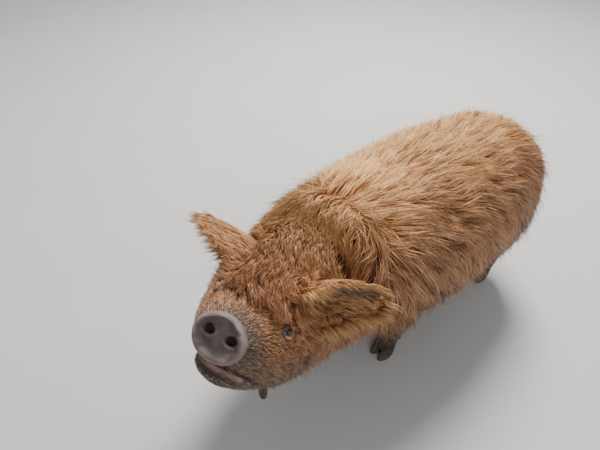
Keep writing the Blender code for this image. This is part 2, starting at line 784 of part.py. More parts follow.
def grow_coat():
    """Every lock of the coat, by the node that it grows from."""
    draw = random.Random(SEED)
    whole = spaced(0.0005, 0.02, 4) + spaced(0.03, SNOUT_AT, 96)
    body = closed(body_rings(whole, 0.0, 72))
    legs = {
        f"leg_{end}_{name}": closed(leg_rings(stations, side, 0.0, 32))
        for end, stations in (("front", FRONT_LEG), ("hind", HIND_LEG))
        for name, side in (("left", 1), ("right", -1))
    }
    ground = Ground([body, closed(jaw_rings(0.0)), *legs.values()])
    limbs = Ground(legs.values())
    trunk = Ground([body])
    coat = {}

    def off_limbs(pick):
        def picked(draw):
            point = pick(draw)
            return None if point is None or limbs.holds(point) else point

        return picked

    def by_tail_or_limb(line):
        if any((point - hang).length < 0.040 for hang in TAIL[1:] for point, normal in line):
            return True
        on_limb = sum((limbs.nearest(point)[0] - point).length < 0.001 for point, normal in line)
        return on_limb > 2

    coat["torso"] = grown_locks(
        draw, ground, TORSO_LOCKS,
        off_limbs(body_pick(0.004, SHOULDER_AT - BARE_BY_NECK, 0, 180, 0.186)), 6000, reject=by_tail_or_limb,
    )
    coat["neck"] = grown_locks(
        draw, ground, NECK_LOCKS, body_pick(SHOULDER_AT + 0.006, OCCIPUT_AT - 0.014, 0, 180, 0.16), 1500,
    )
    brow = grown_locks(
        draw, ground, BROW_LOCKS, body_pick(OCCIPUT_AT + WHORL_AT + 0.004, OCCIPUT_AT + 0.120, 0, 62, 0.11),
        1500, height=0.010, reject=near_feature,
    )
    roots = [lock.line[0][0] for lock in brow]
    cheek = grown_locks(
        draw, ground, CHEEK_LOCKS, body_pick(OCCIPUT_AT + 0.006, OCCIPUT_AT + 0.150, 66, 176, 0.11),
        1500, roots, height=0.012, reject=near_feature,
    )
    coat["head"] = brow + cheek
    for end, stations in (("front", FRONT_LEG), ("hind", HIND_LEG)):
        for name, side in (("left", 1), ("right", -1)):
            node = f"leg_{end}_{name}"
            pick = leg_pick(stations, side)

            def outside(draw, pick=pick):
                point = pick(draw)
                return None if point is None or trunk.holds(point) else point

            coat[node] = grown_locks(
                draw, Ground([legs[node]]), LEG_LOCKS, outside, 700,
                way_at=lambda point, normal: Vector((0, 0.25, -1)), height=0.009,
                reject=lambda line: line[-1][0].z < 0.074,
            )
    for side in EARS:
        coat["ear_" + side] = ear_locks(draw, side)
    coat["tail"] = tail_locks(draw)
    return coat


COAT_ORDER = (
    "head", "neck", "torso", "leg_front_left", "leg_front_right", "leg_hind_left", "leg_hind_right",
    "ear_left", "ear_right", "tail",
)


def cores_beside(node, collection):
    """The cores of the nodes beside this one, grown by the gap."""
    lift = GAP
    more = GAP + 0.0002
    if node != "torso":
        body_length("torso_room", trunk_places(more), lift, collection)
    if node in ("head", "ear_left", "ear_right"):
        body_length("neck_room", neck_places(more), lift, collection)
    if node not in ("head", "torso") and not node.startswith(("leg_hind", "tail")):
        body_length("head_room", head_places(more), lift, collection)
        loft("jaw_room", jaw_rings(lift), collection)


def box_of(points, grow=0.0):
    xs, ys, zs = zip(*points)
    return (min(xs) - grow, min(ys) - grow, min(zs) - grow), (max(xs) + grow, max(ys) + grow, max(zs) + grow)


def boxes_meet(one, other):
    return all(one[0][i] <= other[1][i] and other[0][i] <= one[1][i] for i in range(3))


def dress(node, target, coat, collection):
    """Fuses a node's locks to its core, then clears them from its neighbours."""
    for lock in coat[node]:
        lock.add(collection)
    combine(target, collection, "UNION")
    box = box_of([vert.co for vert in target.data.vertices], 0.002)
    cores_beside(node, collection)
    for other in COAT_ORDER[:COAT_ORDER.index(node)]:
        for lock in coat[other]:
            if boxes_meet(box, box_of([*(point for point, normal in lock.line), lock.tip], 0.035)):
                lock.add(collection, GAP)
    combine(target, collection, "DIFFERENCE")
    keep_largest(target)


def make_head():
    head = body_length("head", head_places(), 0.0, pig)
    loft("lower_jaw", jaw_rings(0.0), pieces)
    for side in (1, -1):
        centre, outward = eye_place(side)
        lid_turn = turned_to(outward, HEAD_FORWARD)
        lid = EYE_RADIUS + LID_THICK
        ball("lid", centre, lid_turn, (lid, lid, lid), pieces, "coat", 14, 8)
    combine(head, pieces, "UNION")
    for side in (1, -1):
        centre, outward = eye_place(side)
        lid_turn = turned_to(outward, HEAD_FORWARD)
        room = EYE_RADIUS + GAP
        ball("socket", centre, lid_turn, (room, room, room), pieces, "coat", 14, 8)
        slit = centre + outward * EYE_RADIUS
        ball("slit", slit, lid_turn, (*LID_SLIT, EYE_RADIUS), pieces, "coat", 12, 8)
        ball(
            "eye_left" if side > 0 else "eye_right",
            centre, lid_turn, (EYE_RADIUS,) * 3, pig, "eye", 14, 8,
        )
    combine(head, pieces, "DIFFERENCE")
    keep_largest(head)
    return head


def make_snout_disc():
    """The bare disc on the end of the snout, with its two nostrils."""
    centre, turn = spine_frame(SNOUT_AT)
    forward = turn @ Vector((0, -1, 0))
    level, half_width, rise, drop = stations_at(BODY_STATIONS, SNOUT_AT)
    up, left = turn @ Vector((0, 0, 1)), turn @ Vector((1, 0, 0))
    middle = centre + up * (level + (rise - drop) / 2)
    profile = (
        (0.0, -DISC_RIM),
        (0.25, 0.0),
        (0.75, 0.0),
        (0.95, -DISC_RIM * 0.6),
        (1.0, -DISC_RIM * 1.8),
    )
    rings = []
    for out, inward in profile:
        place = middle + forward * (GAP + DISC_THICK * out)
        above = (rise + drop) / 2 + MUZZLE_COAT + DISC_RIM + inward
        rings.append(ellipse_ring(place, left, up, half_width + MUZZLE_COAT + DISC_RIM + inward, above, 28))
    disc = loft("snout_disc", rings, pig, "disc")
    for side in (1, -1):
        deep = middle + left * (side * NOSTRIL_APART) + up * NOSTRIL_UP
        mouth = deep + forward * (DISC_THICK + GAP)
        ball(
            "nostril", mouth, turned_to(forward, left),
            (NOSTRIL_RADIUS * 1.15, NOSTRIL_RADIUS, NOSTRIL_DEPTH), pieces, "disc", 12, 8,
        )
    combine(disc, pieces, "DIFFERENCE")
    return disc


def make_leg(name, stations, side):
    leg = loft("leg_" + name, leg_rings(stations, side, 0.0), pig)
    body_length("trunk_cutter", trunk_places(), GAP, pieces)
    combine(leg, pieces, "DIFFERENCE")
    keep_largest(leg)
    return leg


def make_claws(name, stations, side):
    """Two toes on the floor and two dewclaws behind them."""
    height, along, apart, across, length = stations[-1]
    middle = Vector((side * apart, along, 0))
    for part, way in (("inner", -side), ("outer", side)):
        sole = middle + Vector((way * TOE_APART, -0.006, TOE_HEIGHT / 2))
        toe = cone(
            f"toe_{name}_{part}", sole, Matrix.Identity(3), TOE_SOLE, TOE_CROWN,
            TOE_HEIGHT, pig, "claw",
        )
        for vert in toe.data.vertices:
            if vert.co.z > 0:
                vert.co.y += TOE_SLOPE
    back = FRONT_LEG_BACK if stations is FRONT_LEG else HIND_LEG_BACK
    for part, way in (("inner", -side), ("outer", side)):
        hold = middle + Vector((way * DEWCLAW_APART, back, DEWCLAW_HEIGHT))
        slope = turned_to(Vector((-way * 0.15, -0.55, 0.82)), Vector((1, 0, 0)))
        claw = cone(
            f"dewclaw_{name}_{part}", hold, slope, DEWCLAW_TIP, DEWCLAW_ROOT,
            DEWCLAW_LENGTH, pig, "claw", 10,
        )
        loft("leg_cutter", leg_rings(stations, side, GAP), pieces)
        combine(claw, pieces, "DIFFERENCE")
        keep_largest(claw)


def make_ear(side):
    made = ear(side, pig)
    baked(made)
    body_length("head_cutter", head_places(), GAP, pieces)
    combine(made, pieces, "DIFFERENCE")
    keep_largest(made)
    return made


def make_tail():
    tail = tube("tail", TAIL, TAIL_RADIUS, 9, pig, "coat")
    body_length("trunk_cutter", trunk_places(), GAP, pieces)
    combine(tail, pieces, "DIFFERENCE")
    keep_largest(tail)
    return tail


def make_tassel(side):
    """One of the two fleshy tassels that hang from the throat."""
    top = body_point(TASSEL_AT, side * TASSEL_ANGLE, CORE_SHARE)
    start = top + Vector((0, 0, 0.012))
    rings = []
    for k, radius in enumerate(TASSEL_RADII):
        t = k / (len(TASSEL_RADII) - 1)
        at = start + Vector((side * 0.010 * t, -0.006 * t, -(TASSEL_LENGTH + 0.012) * t))
        rings.append(ellipse_ring(at, Vector((1, 0, 0)), Vector((0, 1, 0)), radius, radius, 9))
    tassel = loft("tassel_left" if side > 0 else "tassel_right", rings, pig)
    body_length("head_cutter", head_places(), GAP, pieces)
    loft("jaw_cutter", jaw_rings(GAP), pieces)
    combine(tassel, pieces, "DIFFERENCE")
    keep_largest(tassel)
    return tassel


def world_box(objects):
    corners = []
    for item in objects:
        corners.extend(item.matrix_world @ vert.co for vert in item.data.vertices)
    xs, ys, zs = zip(*corners)
    return Vector((min(xs), min(ys), min(zs))), Vector((max(xs), max(ys), max(zs)))


for old in list(bpy.data.objects):
    bpy.data.objects.remove(old)
pig = bpy.data.collections.new("kunekune_pig")
pieces = bpy.data.collections.new("joined_pieces")
for group in (pig, pieces):
    bpy.context.scene.collection.children.link(group)

coat = grow_coat()
nodes = {
    "head": make_head(),
    "neck": body_length("neck", neck_places(), 0.0, pig),
    "torso": body_length("torso", trunk_places(), 0.0, pig),
}
make_snout_disc()
for end, stations in (("front", FRONT_LEG), ("hind", HIND_LEG)):
    for side_name, side in (("left", 1), ("right", -1)):
        nodes[f"leg_{end}_{side_name}"] = make_leg(f"{end}_{side_name}", stations, side)
for side_name in EARS:
    nodes["ear_" + side_name] = make_ear(side_name)
nodes["tail"] = make_tail()
for node in COAT_ORDER:
    dress(node, nodes[node], coat, pieces)
for end, stations in (("front", FRONT_LEG), ("hind", HIND_LEG)):
    for side_name, side in (("left", 1), ("right", -1)):
        make_claws(f"{end}_{side_name}", stations, side)
for side in (1, -1):
    make_tassel(side)

# The whole pig is moved so that the middle of its bounding box stands over the origin
bpy.context.view_layer.update()
low, high = world_box(pig.objects)
middle = Vector(((low.x + high.x) / 2, (low.y + high.y) / 2, 0))
for item in pig.objects:
    item.location = item.location - middle
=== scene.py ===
"""The looks of a life-size kunekune pig: one skin, a long ginger coat of mesh tufts, eyes, disc, hooves.

Lengths are in metres. The shape follows a spine line from the rump to the snout, in the part's own
modelling frame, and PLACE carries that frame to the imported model.
"""

import json
import math

import bmesh
import bpy
import numpy as np
from mathutils import Matrix, Vector
from mathutils.bvhtree import BVHTree

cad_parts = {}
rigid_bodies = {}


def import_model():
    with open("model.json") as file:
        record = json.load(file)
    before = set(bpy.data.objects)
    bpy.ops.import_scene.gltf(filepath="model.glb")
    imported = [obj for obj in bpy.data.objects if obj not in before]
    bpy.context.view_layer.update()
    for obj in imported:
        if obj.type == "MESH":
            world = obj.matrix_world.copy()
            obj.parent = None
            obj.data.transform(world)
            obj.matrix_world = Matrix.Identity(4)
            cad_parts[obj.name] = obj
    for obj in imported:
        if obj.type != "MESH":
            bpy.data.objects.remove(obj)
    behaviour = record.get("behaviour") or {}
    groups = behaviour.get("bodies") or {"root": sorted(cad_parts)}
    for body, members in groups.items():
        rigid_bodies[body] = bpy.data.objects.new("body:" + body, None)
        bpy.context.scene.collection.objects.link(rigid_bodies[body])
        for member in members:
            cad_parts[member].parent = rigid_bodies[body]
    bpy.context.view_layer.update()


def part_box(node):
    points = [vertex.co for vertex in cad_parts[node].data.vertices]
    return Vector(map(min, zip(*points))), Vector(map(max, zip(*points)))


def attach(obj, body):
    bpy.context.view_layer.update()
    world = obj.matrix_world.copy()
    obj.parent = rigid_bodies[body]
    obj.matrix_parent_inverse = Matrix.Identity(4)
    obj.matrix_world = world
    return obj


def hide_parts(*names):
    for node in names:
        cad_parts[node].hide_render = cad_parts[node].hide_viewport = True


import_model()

# The spine line, measured in metres from the hindmost point of the rump
RUMP_Y = 0.455
SPINE_Z = 0.310
SHOULDER_AT = 0.650
NECK_LENGTH = 0.140
OCCIPUT_AT = SHOULDER_AT + NECK_LENGTH
SNOUT_AT = OCCIPUT_AT + 0.260
RUMP_ROUND = 0.130
OCCIPUT = Vector((0.024, -0.331, 0.329))
HEAD_YAW = math.radians(30)
HEAD_PITCH = math.radians(36)
HEAD_ROLL = math.radians(12)
SNOUT_TILT = math.radians(12)

# Trunk, neck and head: place on the line, level of the widest part, half width, rise, drop
BODY_STATIONS = (
    (0.000, 0.016, 0.148, 0.140, 0.146),
    (0.130, 0.006, 0.156, 0.152, 0.156),
    (0.205, -0.002, 0.170, 0.168, 0.168),
    (0.320, -0.012, 0.185, 0.184, 0.182),
    (0.440, -0.014, 0.186, 0.186, 0.180),
    (0.540, -0.006, 0.174, 0.174, 0.168),
    (0.620, 0.000, 0.158, 0.158, 0.156),
    (0.680, 0.000, 0.145, 0.160, 0.150),
    (0.740, -0.004, 0.131, 0.172, 0.144),
    (0.790, -0.018, 0.116, 0.166, 0.132),
    (0.825, -0.026, 0.110, 0.154, 0.126),
    (0.870, -0.032, 0.107, 0.135, 0.114),
    (0.910, -0.036, 0.102, 0.115, 0.100),
    (0.945, -0.034, 0.090, 0.090, 0.080),
    (0.975, -0.026, 0.075, 0.067, 0.060),
    (1.003, -0.016, 0.058, 0.047, 0.045),
    (1.028, -0.005, 0.046, 0.035, 0.035),
    (1.050, 0.003, 0.0385, 0.030, 0.030),
)
# Lower jaw: distance ahead of the occiput, level, half width, rise, drop
JAW_STATIONS = (
    (0.060, -0.100, 0.066, 0.030, 0.044),
    (0.125, -0.096, 0.063, 0.028, 0.042),
    (0.170, -0.087, 0.053, 0.022, 0.032),
    (0.196, -0.077, 0.044, 0.016, 0.026),
    (0.226, -0.066, 0.033, 0.011, 0.020),
)
JAW_ROUND = 0.022

# Depth of the standing coat over the skin, and the share of it that a tassel's root lies out
BACK_COAT = 0.030
BELLY_COAT = 0.024
MUZZLE_COAT = 0.003
CORE_SHARE = 0.5

# Legs: height, place along the trunk, distance from the middle, radius across, radius along
FRONT_LEG = (
    (0.270, -0.080, 0.100, 0.052, 0.078),
    (0.210, -0.076, 0.108, 0.050, 0.069),
    (0.160, -0.072, 0.112, 0.042, 0.050),
    (0.115, -0.072, 0.114, 0.032, 0.035),
    (0.075, -0.072, 0.115, 0.0255, 0.0265),
    (0.052, -0.075, 0.116, 0.0260, 0.0275),
    (0.0338, -0.080, 0.116, 0.0245, 0.0235),
)
HIND_LEG = (
    (0.290, 0.310, 0.098, 0.062, 0.104),
    (0.230, 0.320, 0.106, 0.058, 0.086),
    (0.180, 0.338, 0.110, 0.045, 0.058),
    (0.135, 0.360, 0.110, 0.032, 0.039),
    (0.085, 0.354, 0.110, 0.0255, 0.0275),
    (0.054, 0.344, 0.110, 0.0260, 0.0285),
    (0.0338, 0.336, 0.110, 0.0245, 0.0235),
)
LEGS = ("front_left", "front_right", "hind_left", "hind_right")
SIDES = (("left", 1), ("right", -1))
TOE_HEIGHT = 0.0335
TOE_APART = 0.0135
TOE_AHEAD = 0.006
TOE_SOLE = (0.0128, 0.027)
TOE_CROWN = (0.0122, 0.0205)
TOE_SLOPE = 0.009
DEWCLAW_HEIGHT = 0.052
DEWCLAW_APART = 0.014
DEWCLAW_LENGTH = 0.020
DEWCLAW_TIP = (0.0045, 0.0045)
DEWCLAW_ROOT = (0.0070, 0.0070)
FRONT_LEG_BACK = 0.031
HIND_LEG_BACK = 0.035

# Face. The disc's profile is its back's edge, its rolled rim and its face, with the share of each,
# and the face reaches to a share of the radius
DISC_THICK = 0.013
DISC_RIM = 0.0025
GAP_TO_DISC = 0.0003
DISC_BACK = 0.06
DISC_ROLL = 0.28
DISC_FACE = 0.66
DISC_FLAT = 0.95
DISC_RINGS = 72
DISC_AROUND = 144
NOSTRIL_APART = 0.0190
NOSTRIL_UP = 0.003
NOSTRIL_RADIUS = 0.0058
NOSTRIL_DEPTH = 0.010
EYE_RADIUS = 0.0115
EYE_AT = OCCIPUT_AT + 0.168
EYE_ANGLE = math.radians(52)
EYE_SUNK = 0.0050
LID_THICK = 0.0022
LID_SLIT = (0.0092, 0.0046)

# Ears: the root's distance ahead of the occiput and its angle from the top of the head, the way
# the ear points and the way its cup opens, both in the head's own left, back and up, and how far
# it droops or rises towards the tip
EAR_LENGTH = 0.122
EAR_HALF_WIDTH = 0.050
EAR_THICK = 0.006
EAR_SUNK = 0.024
EAR_CURL = (math.radians(105), math.radians(38))
EARS = {
    "left": (0.080, 40, Vector((0.84, -0.12, 0.50)), Vector((0.10, -0.80, -0.55)), -0.06),
    "right": (0.062, -37, Vector((-0.98, 0.02, 0.12)), Vector((0.00, 0.05, -0.95)), -0.08),
}

TAIL = (
    Vector((0.000, 0.420, 0.392)),
    Vector((0.000, 0.474, 0.400)),
    Vector((0.004, 0.495, 0.372)),
    Vector((0.010, 0.498, 0.335)),
    Vector((0.014, 0.493, 0.295)),
    Vector((0.009, 0.489, 0.256)),
)
TAIL_RADIUS = (0.017, 0.006)
TASSEL_AT = OCCIPUT_AT + 0.045
TASSEL_ANGLE = math.radians(158)
TASSEL_LENGTH = 0.048
TASSEL_RADII = (0.0070, 0.0072, 0.0085, 0.0095, 0.0060)


def mix(a, b, share):
    return a + (b - a) * share


def smoothstep(low, high, value):
    t = min(max((value - low) / (high - low), 0.0), 1.0)
    return t * t * (3 - 2 * t)


def stations_at(rows, place):
    """The sizes at one place, on a smooth curve through the rows."""
    place = min(max(place, rows[0][0]), rows[-1][0])
    i = max(k for k in range(len(rows) - 1) if rows[k][0] <= place)
    before, low, high, after = (rows[min(max(k, 0), len(rows) - 1)] for k in (i - 1, i, i + 1, i + 2))
    span = high[0] - low[0]
    t = (place - low[0]) / span
    sizes = []
    for a, b, c, d in zip(before[1:], low[1:], high[1:], after[1:]):
        slope_low = (c - a) / max(high[0] - before[0], 1e-6) * span
        slope_high = (d - b) / max(after[0] - low[0], 1e-6) * span
        sizes.append(
            b * (2 * t**3 - 3 * t**2 + 1)
            + slope_low * (t**3 - 2 * t**2 + t)
            + c * (3 * t**2 - 2 * t**3)
            + slope_high * (t**3 - t**2)
        )
    return sizes


HEAD_TURN = (
    Matrix.Rotation(HEAD_YAW, 3, "Z")
    @ Matrix.Rotation(-HEAD_PITCH, 3, "X")
    @ Matrix.Rotation(HEAD_ROLL, 3, "Y")
)
HEAD_FORWARD = HEAD_TURN @ Vector((0, -1, 0))
HEAD_LEFT = HEAD_TURN @ Vector((1, 0, 0))
HEAD_UP = HEAD_TURN @ Vector((0, 0, 1))


def spine_frame(place):
    """The spine's point there, and the 3x3 turn whose columns are left, back and up."""
    if place <= SHOULDER_AT:
        return Vector((0, RUMP_Y - place, SPINE_Z)), Matrix.Identity(3)
    if place >= OCCIPUT_AT:
        forward = place - OCCIPUT_AT
        tilt = SNOUT_TILT * smoothstep(0.150, 0.250, forward)
        return OCCIPUT + HEAD_FORWARD * forward, HEAD_TURN @ Matrix.Rotation(-tilt, 3, "X")
    t = (place - SHOULDER_AT) / NECK_LENGTH
    start, end = Vector((0, RUMP_Y - SHOULDER_AT, SPINE_Z)), OCCIPUT
    away, into = Vector((0, -NECK_LENGTH, 0)), HEAD_FORWARD * NECK_LENGTH
    point = (
        start * (2 * t**3 - 3 * t**2 + 1)
        + away * (t**3 - 2 * t**2 + t)
        + end * (3 * t**2 - 2 * t**3)
        + into * (t**3 - t**2)
    )
    turn = Matrix.Identity(3).to_quaternion().slerp(HEAD_TURN.to_quaternion(), smoothstep(0, 1, t))
    return point, turn.to_matrix()


def rounding(from_end, reach, power=2.3):
    """How far a blunt end has opened, from 0 at the very end to 1 at its reach."""
    if from_end >= reach:
        return 1.0
    return (1 - (1 - from_end / reach) ** power) ** (1 / power)


def body_point(place, angle, lift=0.0):
    """A point on the trunk, neck or head. The angle runs from the top over the left side."""
    level, half_width, rise, drop = stations_at(BODY_STATIONS, place)
    centre, turn = spine_frame(place)
    close = rounding(place, RUMP_ROUND)
    height = rise if math.cos(angle) > 0 else drop
    across = (half_width * close + lift) * math.sin(angle)
    above = (height * close + lift) * math.cos(angle) + level
    return centre + turn @ Vector((across, 0, above))


def body_normal(place, angle):
    along = body_point(place + 0.004, angle) - body_point(place - 0.004, angle)
    round_it = body_point(place, angle + 0.02) - body_point(place, angle - 0.02)
    return along.cross(round_it).normalized()


# How fine the skin is, and the rounds and the strength by which all of it and the nape's fold
# are smoothed
VOXEL = 0.0036
SKIN_SMOOTHING = (3, 0.5)
FOLD_SMOOTHING = (60, 0.6)
RNG = np.random.default_rng(20)

toe_low, toe_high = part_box("toe_front_left_inner")
PLACE = Vector((
    (toe_low.x + toe_high.x) / 2 - (FRONT_LEG[-1][2] - TOE_APART),
    toe_low.y - (FRONT_LEG[-1][1] - TOE_AHEAD - TOE_SOLE[1]),
    0,
))


# Shapes as lists of points and faces

def angles(count):
    return [2 * math.pi * k / count for k in range(count)]


def spaced(low, high, count):
    return [mix(low, high, k / (count - 1)) for k in range(count)]


def rounded_places(count, reach):
    """Places along a blunt end, closer together where it turns."""
    return [reach * (1 - math.cos(math.pi / 2 * k / count)) for k in range(count)]


def tube_shape(rings):
    """The points and faces of a closed tube through rings of points."""
    count = len(rings[0])
    points = [point for ring in rings for point in ring]
    faces = []
    for i in range(len(rings) - 1):
        for k in range(count):
            n = (k + 1) % count
            faces.append((i * count + k, i * count + n, (i + 1) * count + n, (i + 1) * count + k))
    last = (len(rings) - 1) * count
    points.append(sum(rings[0], Vector()) / count)
    points.append(sum(rings[-1], Vector()) / count)
    for k in range(count):
        n = (k + 1) % count
        faces.append((n, k, len(points) - 2))
        faces.append((last + k, last + n, len(points) - 1))
    return points, faces


def oval(centre, left, up, across, above, count):
    return [centre + left * (across * math.sin(a)) + up * (above * math.cos(a)) for a in angles(count)]


def body_shape():
    places = [0.0004] + rounded_places(14, RUMP_ROUND)[1:] + spaced(RUMP_ROUND, SNOUT_AT, 100)
    return tube_shape([[body_point(p, a) for a in angles(96)] for p in places])


def jaw_point(ahead, angle):
    """A point on the lower jaw, ahead of the occiput. The angle runs from the top over the left side."""
    level, half_width, rise, drop = stations_at(JAW_STATIONS, ahead)
    close = rounding(JAW_STATIONS[-1][0] - ahead + 0.0008, JAW_ROUND)
    centre, turn = spine_frame(OCCIPUT_AT + ahead)
    height = rise if math.cos(angle) > 0 else drop
    across, above = half_width * close * math.sin(angle), height * close * math.cos(angle) + level
    return centre + turn @ Vector((across, 0, above))


def jaw_shape():
    last = JAW_STATIONS[-1][0]
    places = spaced(JAW_STATIONS[0][0], last - JAW_ROUND, 20)
    places += [last - p for p in reversed(rounded_places(7, JAW_ROUND)[1:])]
    return tube_shape([[jaw_point(p, a) for a in angles(48)] for p in places])


def leg_point(stations, side, height, angle):
    along, apart, across, length = stations_at([(-s[0], *s[1:]) for s in stations], -height)
    return Vector((side * apart + across * math.sin(angle), along + length * math.cos(angle), height))


def leg_shape(stations, side):
    top, bottom = stations[0][0], stations[-1][0]
    rings = [[leg_point(stations, side, z, a) for a in angles(40)] for z in spaced(top, bottom, 40)]
    return tube_shape(rings)


def ear_frame(side):
    ahead, degrees, axis, opens, droop = EARS[side]
    length_way = (HEAD_TURN @ axis).normalized()
    facing = HEAD_TURN @ opens
    facing = (facing - length_way * facing.dot(length_way)).normalized()
    root = body_point(OCCIPUT_AT + ahead, math.radians(degrees)) - length_way * EAR_SUNK
    return root, length_way, facing, length_way.cross(facing), droop


def ear_point(side, along, across):
    """A point on the middle of the ear's leaf, from root to tip and from edge to edge."""
    root, length_way, facing, width_way, droop = ear_frame(side)
    half_width = EAR_HALF_WIDTH * (1 - along) ** 0.55 * (0.80 + 1.1 * along)
    curl = mix(*EAR_CURL, smoothstep(0, 0.75, along))
    radius = half_width / math.sin(min(curl, math.pi / 2))
    sideways = radius * math.sin(curl * across)
    forward = radius * (1 - math.cos(curl * across))
    length = (EAR_LENGTH + EAR_SUNK) * along
    bend = HEAD_UP * (droop * EAR_LENGTH * along * along)
    return root + length_way * length + width_way * sideways + facing * forward + bend


def ear_normal(side, along, across):
    """The way that the cup's inner face looks."""
    after, before = min(along + 0.01, 0.99), max(along - 0.01, 0.0)
    down_it = ear_point(side, after, across) - ear_point(side, before, across)
    over_it = ear_point(side, along, across + 0.02) - ear_point(side, along, across - 0.02)
    normal = down_it.cross(over_it).normalized()
    facing = ear_frame(side)[2]
    return normal if normal.dot(facing) > 0 or abs(across) > 0.9 else -normal


def ear_shape(side, rows=22, columns=25):
    """A cupped leaf, thick at its root and thin at its rim."""
    inner, outer = [], []
    for i in range(rows):
        along = 0.985 * math.sin(math.pi / 2 * i / (rows - 1))
        for k in range(columns):
            across = -1 + 2 * k / (columns - 1)
            middle = ear_point(side, along, across)
            rim = max(abs(across), along) ** 6
            half = ear_normal(side, along, across) * (EAR_THICK / 2 * mix(1.15, 0.75, rim))
            inner.append(middle + half)
            outer.append(middle - half)
    points = inner + outer
    faces = []
    shift = rows * columns
    for i in range(rows - 1):
        for k in range(columns - 1):
            a = i * columns + k
            faces.append((a, a + 1, a + columns + 1, a + columns))
            faces.append((shift + a, shift + a + columns, shift + a + columns + 1, shift + a + 1))
    edge = [i * columns for i in range(rows)]
    edge += [(rows - 1) * columns + k for k in range(1, columns)]
    edge += [i * columns + columns - 1 for i in range(rows - 2, -1, -1)]
    edge += [k for k in range(columns - 2, 0, -1)]
    for a, b in zip(edge, edge[1:] + edge[:1]):
        faces.append((a, shift + a, shift + b, b))
    return points, faces


def line_shape(points, radii, count=16, segments=16):
    """A round tube along a smooth line."""
    rows = [(k, *p) for k, p in enumerate(points)]
    line = [Vector(stations_at(rows, (len(points) - 1) * k / (count - 1))) for k in range(count)]
    rings = []
    for k, point in enumerate(line):
        way = (line[min(k + 1, count - 1)] - line[max(k - 1, 0)]).normalized()
        up = Vector((1, 0, 0)).cross(way).normalized()
        radius = stations_at([(i / (len(radii) - 1), r) for i, r in enumerate(radii)], k / (count - 1))[0]
        rings.append(oval(point, up.cross(way), up, radius, radius, segments))
    return tube_shape(rings)


def tassel_shape(side):
    depth = mix(BACK_COAT, BELLY_COAT, (1 - math.cos(TASSEL_ANGLE)) / 2)
    top = body_point(TASSEL_AT, side * TASSEL_ANGLE, CORE_SHARE * depth)
    line = [
        top + Vector((side * 0.010 * t, -0.006 * t, 0.016 - (TASSEL_LENGTH + 0.012) * t))
        for t in (0.0, 0.25, 0.5, 0.75, 1.0)
    ]
    return line_shape(line, TASSEL_RADII)


def eye_place(side):
    """The eyeball's centre and the way that it looks."""
    angle = side * EYE_ANGLE
    outward = body_normal(EYE_AT, angle)
    return body_point(EYE_AT, angle) - outward * EYE_SUNK, outward


# Objects

def put(name, mesh, look=None):
    made = bpy.data.objects.new(name, mesh)
    bpy.context.scene.collection.objects.link(made)
    if look:
        mesh.materials.append(look)
    return made


def plain_mesh(name, points, faces, smooth=True):
    mesh = bpy.data.meshes.new(name)
    mesh.from_pydata([Vector(p) + PLACE for p in points], [], faces)
    if smooth:
        mesh.shade_smooth()
    return mesh


def joined(shapes):
    points, faces = [], []
    for shape_points, shape_faces in shapes:
        faces.extend(tuple(i + len(points) for i in face) for face in shape_faces)
        points.extend(shape_points)
    return points, faces


def applied(made):
    """Applies the object's modifiers."""
    bpy.context.view_layer.update()
    mesh = bpy.data.meshes.new_from_object(made.evaluated_get(bpy.context.evaluated_depsgraph_get()))
    made.modifiers.clear()
    made.data = mesh
    return made


def coordinates(mesh):
    values = np.empty(len(mesh.vertices) * 3, np.float32)
    mesh.vertices.foreach_get("co", values)
    return values.reshape(-1, 3).astype(float)


def own_points(mesh):
    """The mesh's points in the part's own modelling frame."""
    return coordinates(mesh) - np.array(PLACE)


def relaxed(mesh, rounds, share):
    """Smooths a mesh by moving each vertex a share of the way to the middle of its neighbours."""
    edges = np.empty(len(mesh.edges) * 2, np.int32)
    mesh.edges.foreach_get("vertices", edges)
    a, b = edges.reshape(-1, 2).T
    points = coordinates(mesh)
    degree = np.bincount(np.r_[a, b], minlength=len(points))[:, None]
    for _ in range(rounds):
        total = np.zeros_like(points)
        np.add.at(total, a, points[b])
        np.add.at(total, b, points[a])
        points += share * (total / degree - points)
    mesh.vertices.foreach_set("co", points.astype(np.float32).ravel())
    mesh.update()


# Where a point is on the animal, and the markings there

AXES = np.array([HEAD_FORWARD, HEAD_LEFT, HEAD_UP])
# How far below the head's line its angles are measured from
HEAD_MIDDLE = 0.03


def ahead_left_up(points):
    """Points in the head's own directions, from the occiput."""
    return ((points - np.array(OCCIPUT)) @ AXES.T).T


def smooth_steps(low, high, value):
    t = np.clip((value - low) / (high - low), 0, 1)
    return t * t * (3 - 2 * t)


def swirl(points, size, seed):
    """Smooth noise from -1 to 1, as a sum of waves in fixed random directions."""
    draw = np.random.default_rng(seed)
    total = np.zeros(len(points))
    for _ in range(7):
        way = draw.normal(size=3)
        way *= 2 * math.pi / (size * draw.uniform(0.7, 1.6) * np.linalg.norm(way))
        total += np.sin(points @ way + draw.uniform(0, 2 * math.pi))
    return total / 4.2


def located(points):
    """For points near the body: place along the spine line, and angle from the top over the left."""
    beyond = (RUMP_Y - SHOULDER_AT) - points[:, 1]
    ahead, left, above = ahead_left_up(points)
    share = np.clip(beyond, 0, None) / (np.clip(beyond, 0, None) + np.clip(-ahead, 0, None) + 1e-6)
    share = np.where(beyond <= 0, 0.0, np.where(ahead >= 0, 1.0, share))
    trunk_place = np.minimum(RUMP_Y - points[:, 1], SHOULDER_AT)
    place = np.where(beyond <= 0, trunk_place, SHOULDER_AT + NECK_LENGTH * share)
    place = np.where((ahead >= 0) & (beyond > 0), OCCIPUT_AT + ahead, place)
    sideways = points[:, 0] * (1 - share) + left * share
    height = (points[:, 2] - SPINE_Z) * (1 - share) + (above + HEAD_MIDDLE) * share
    return place, np.arctan2(sideways, height)


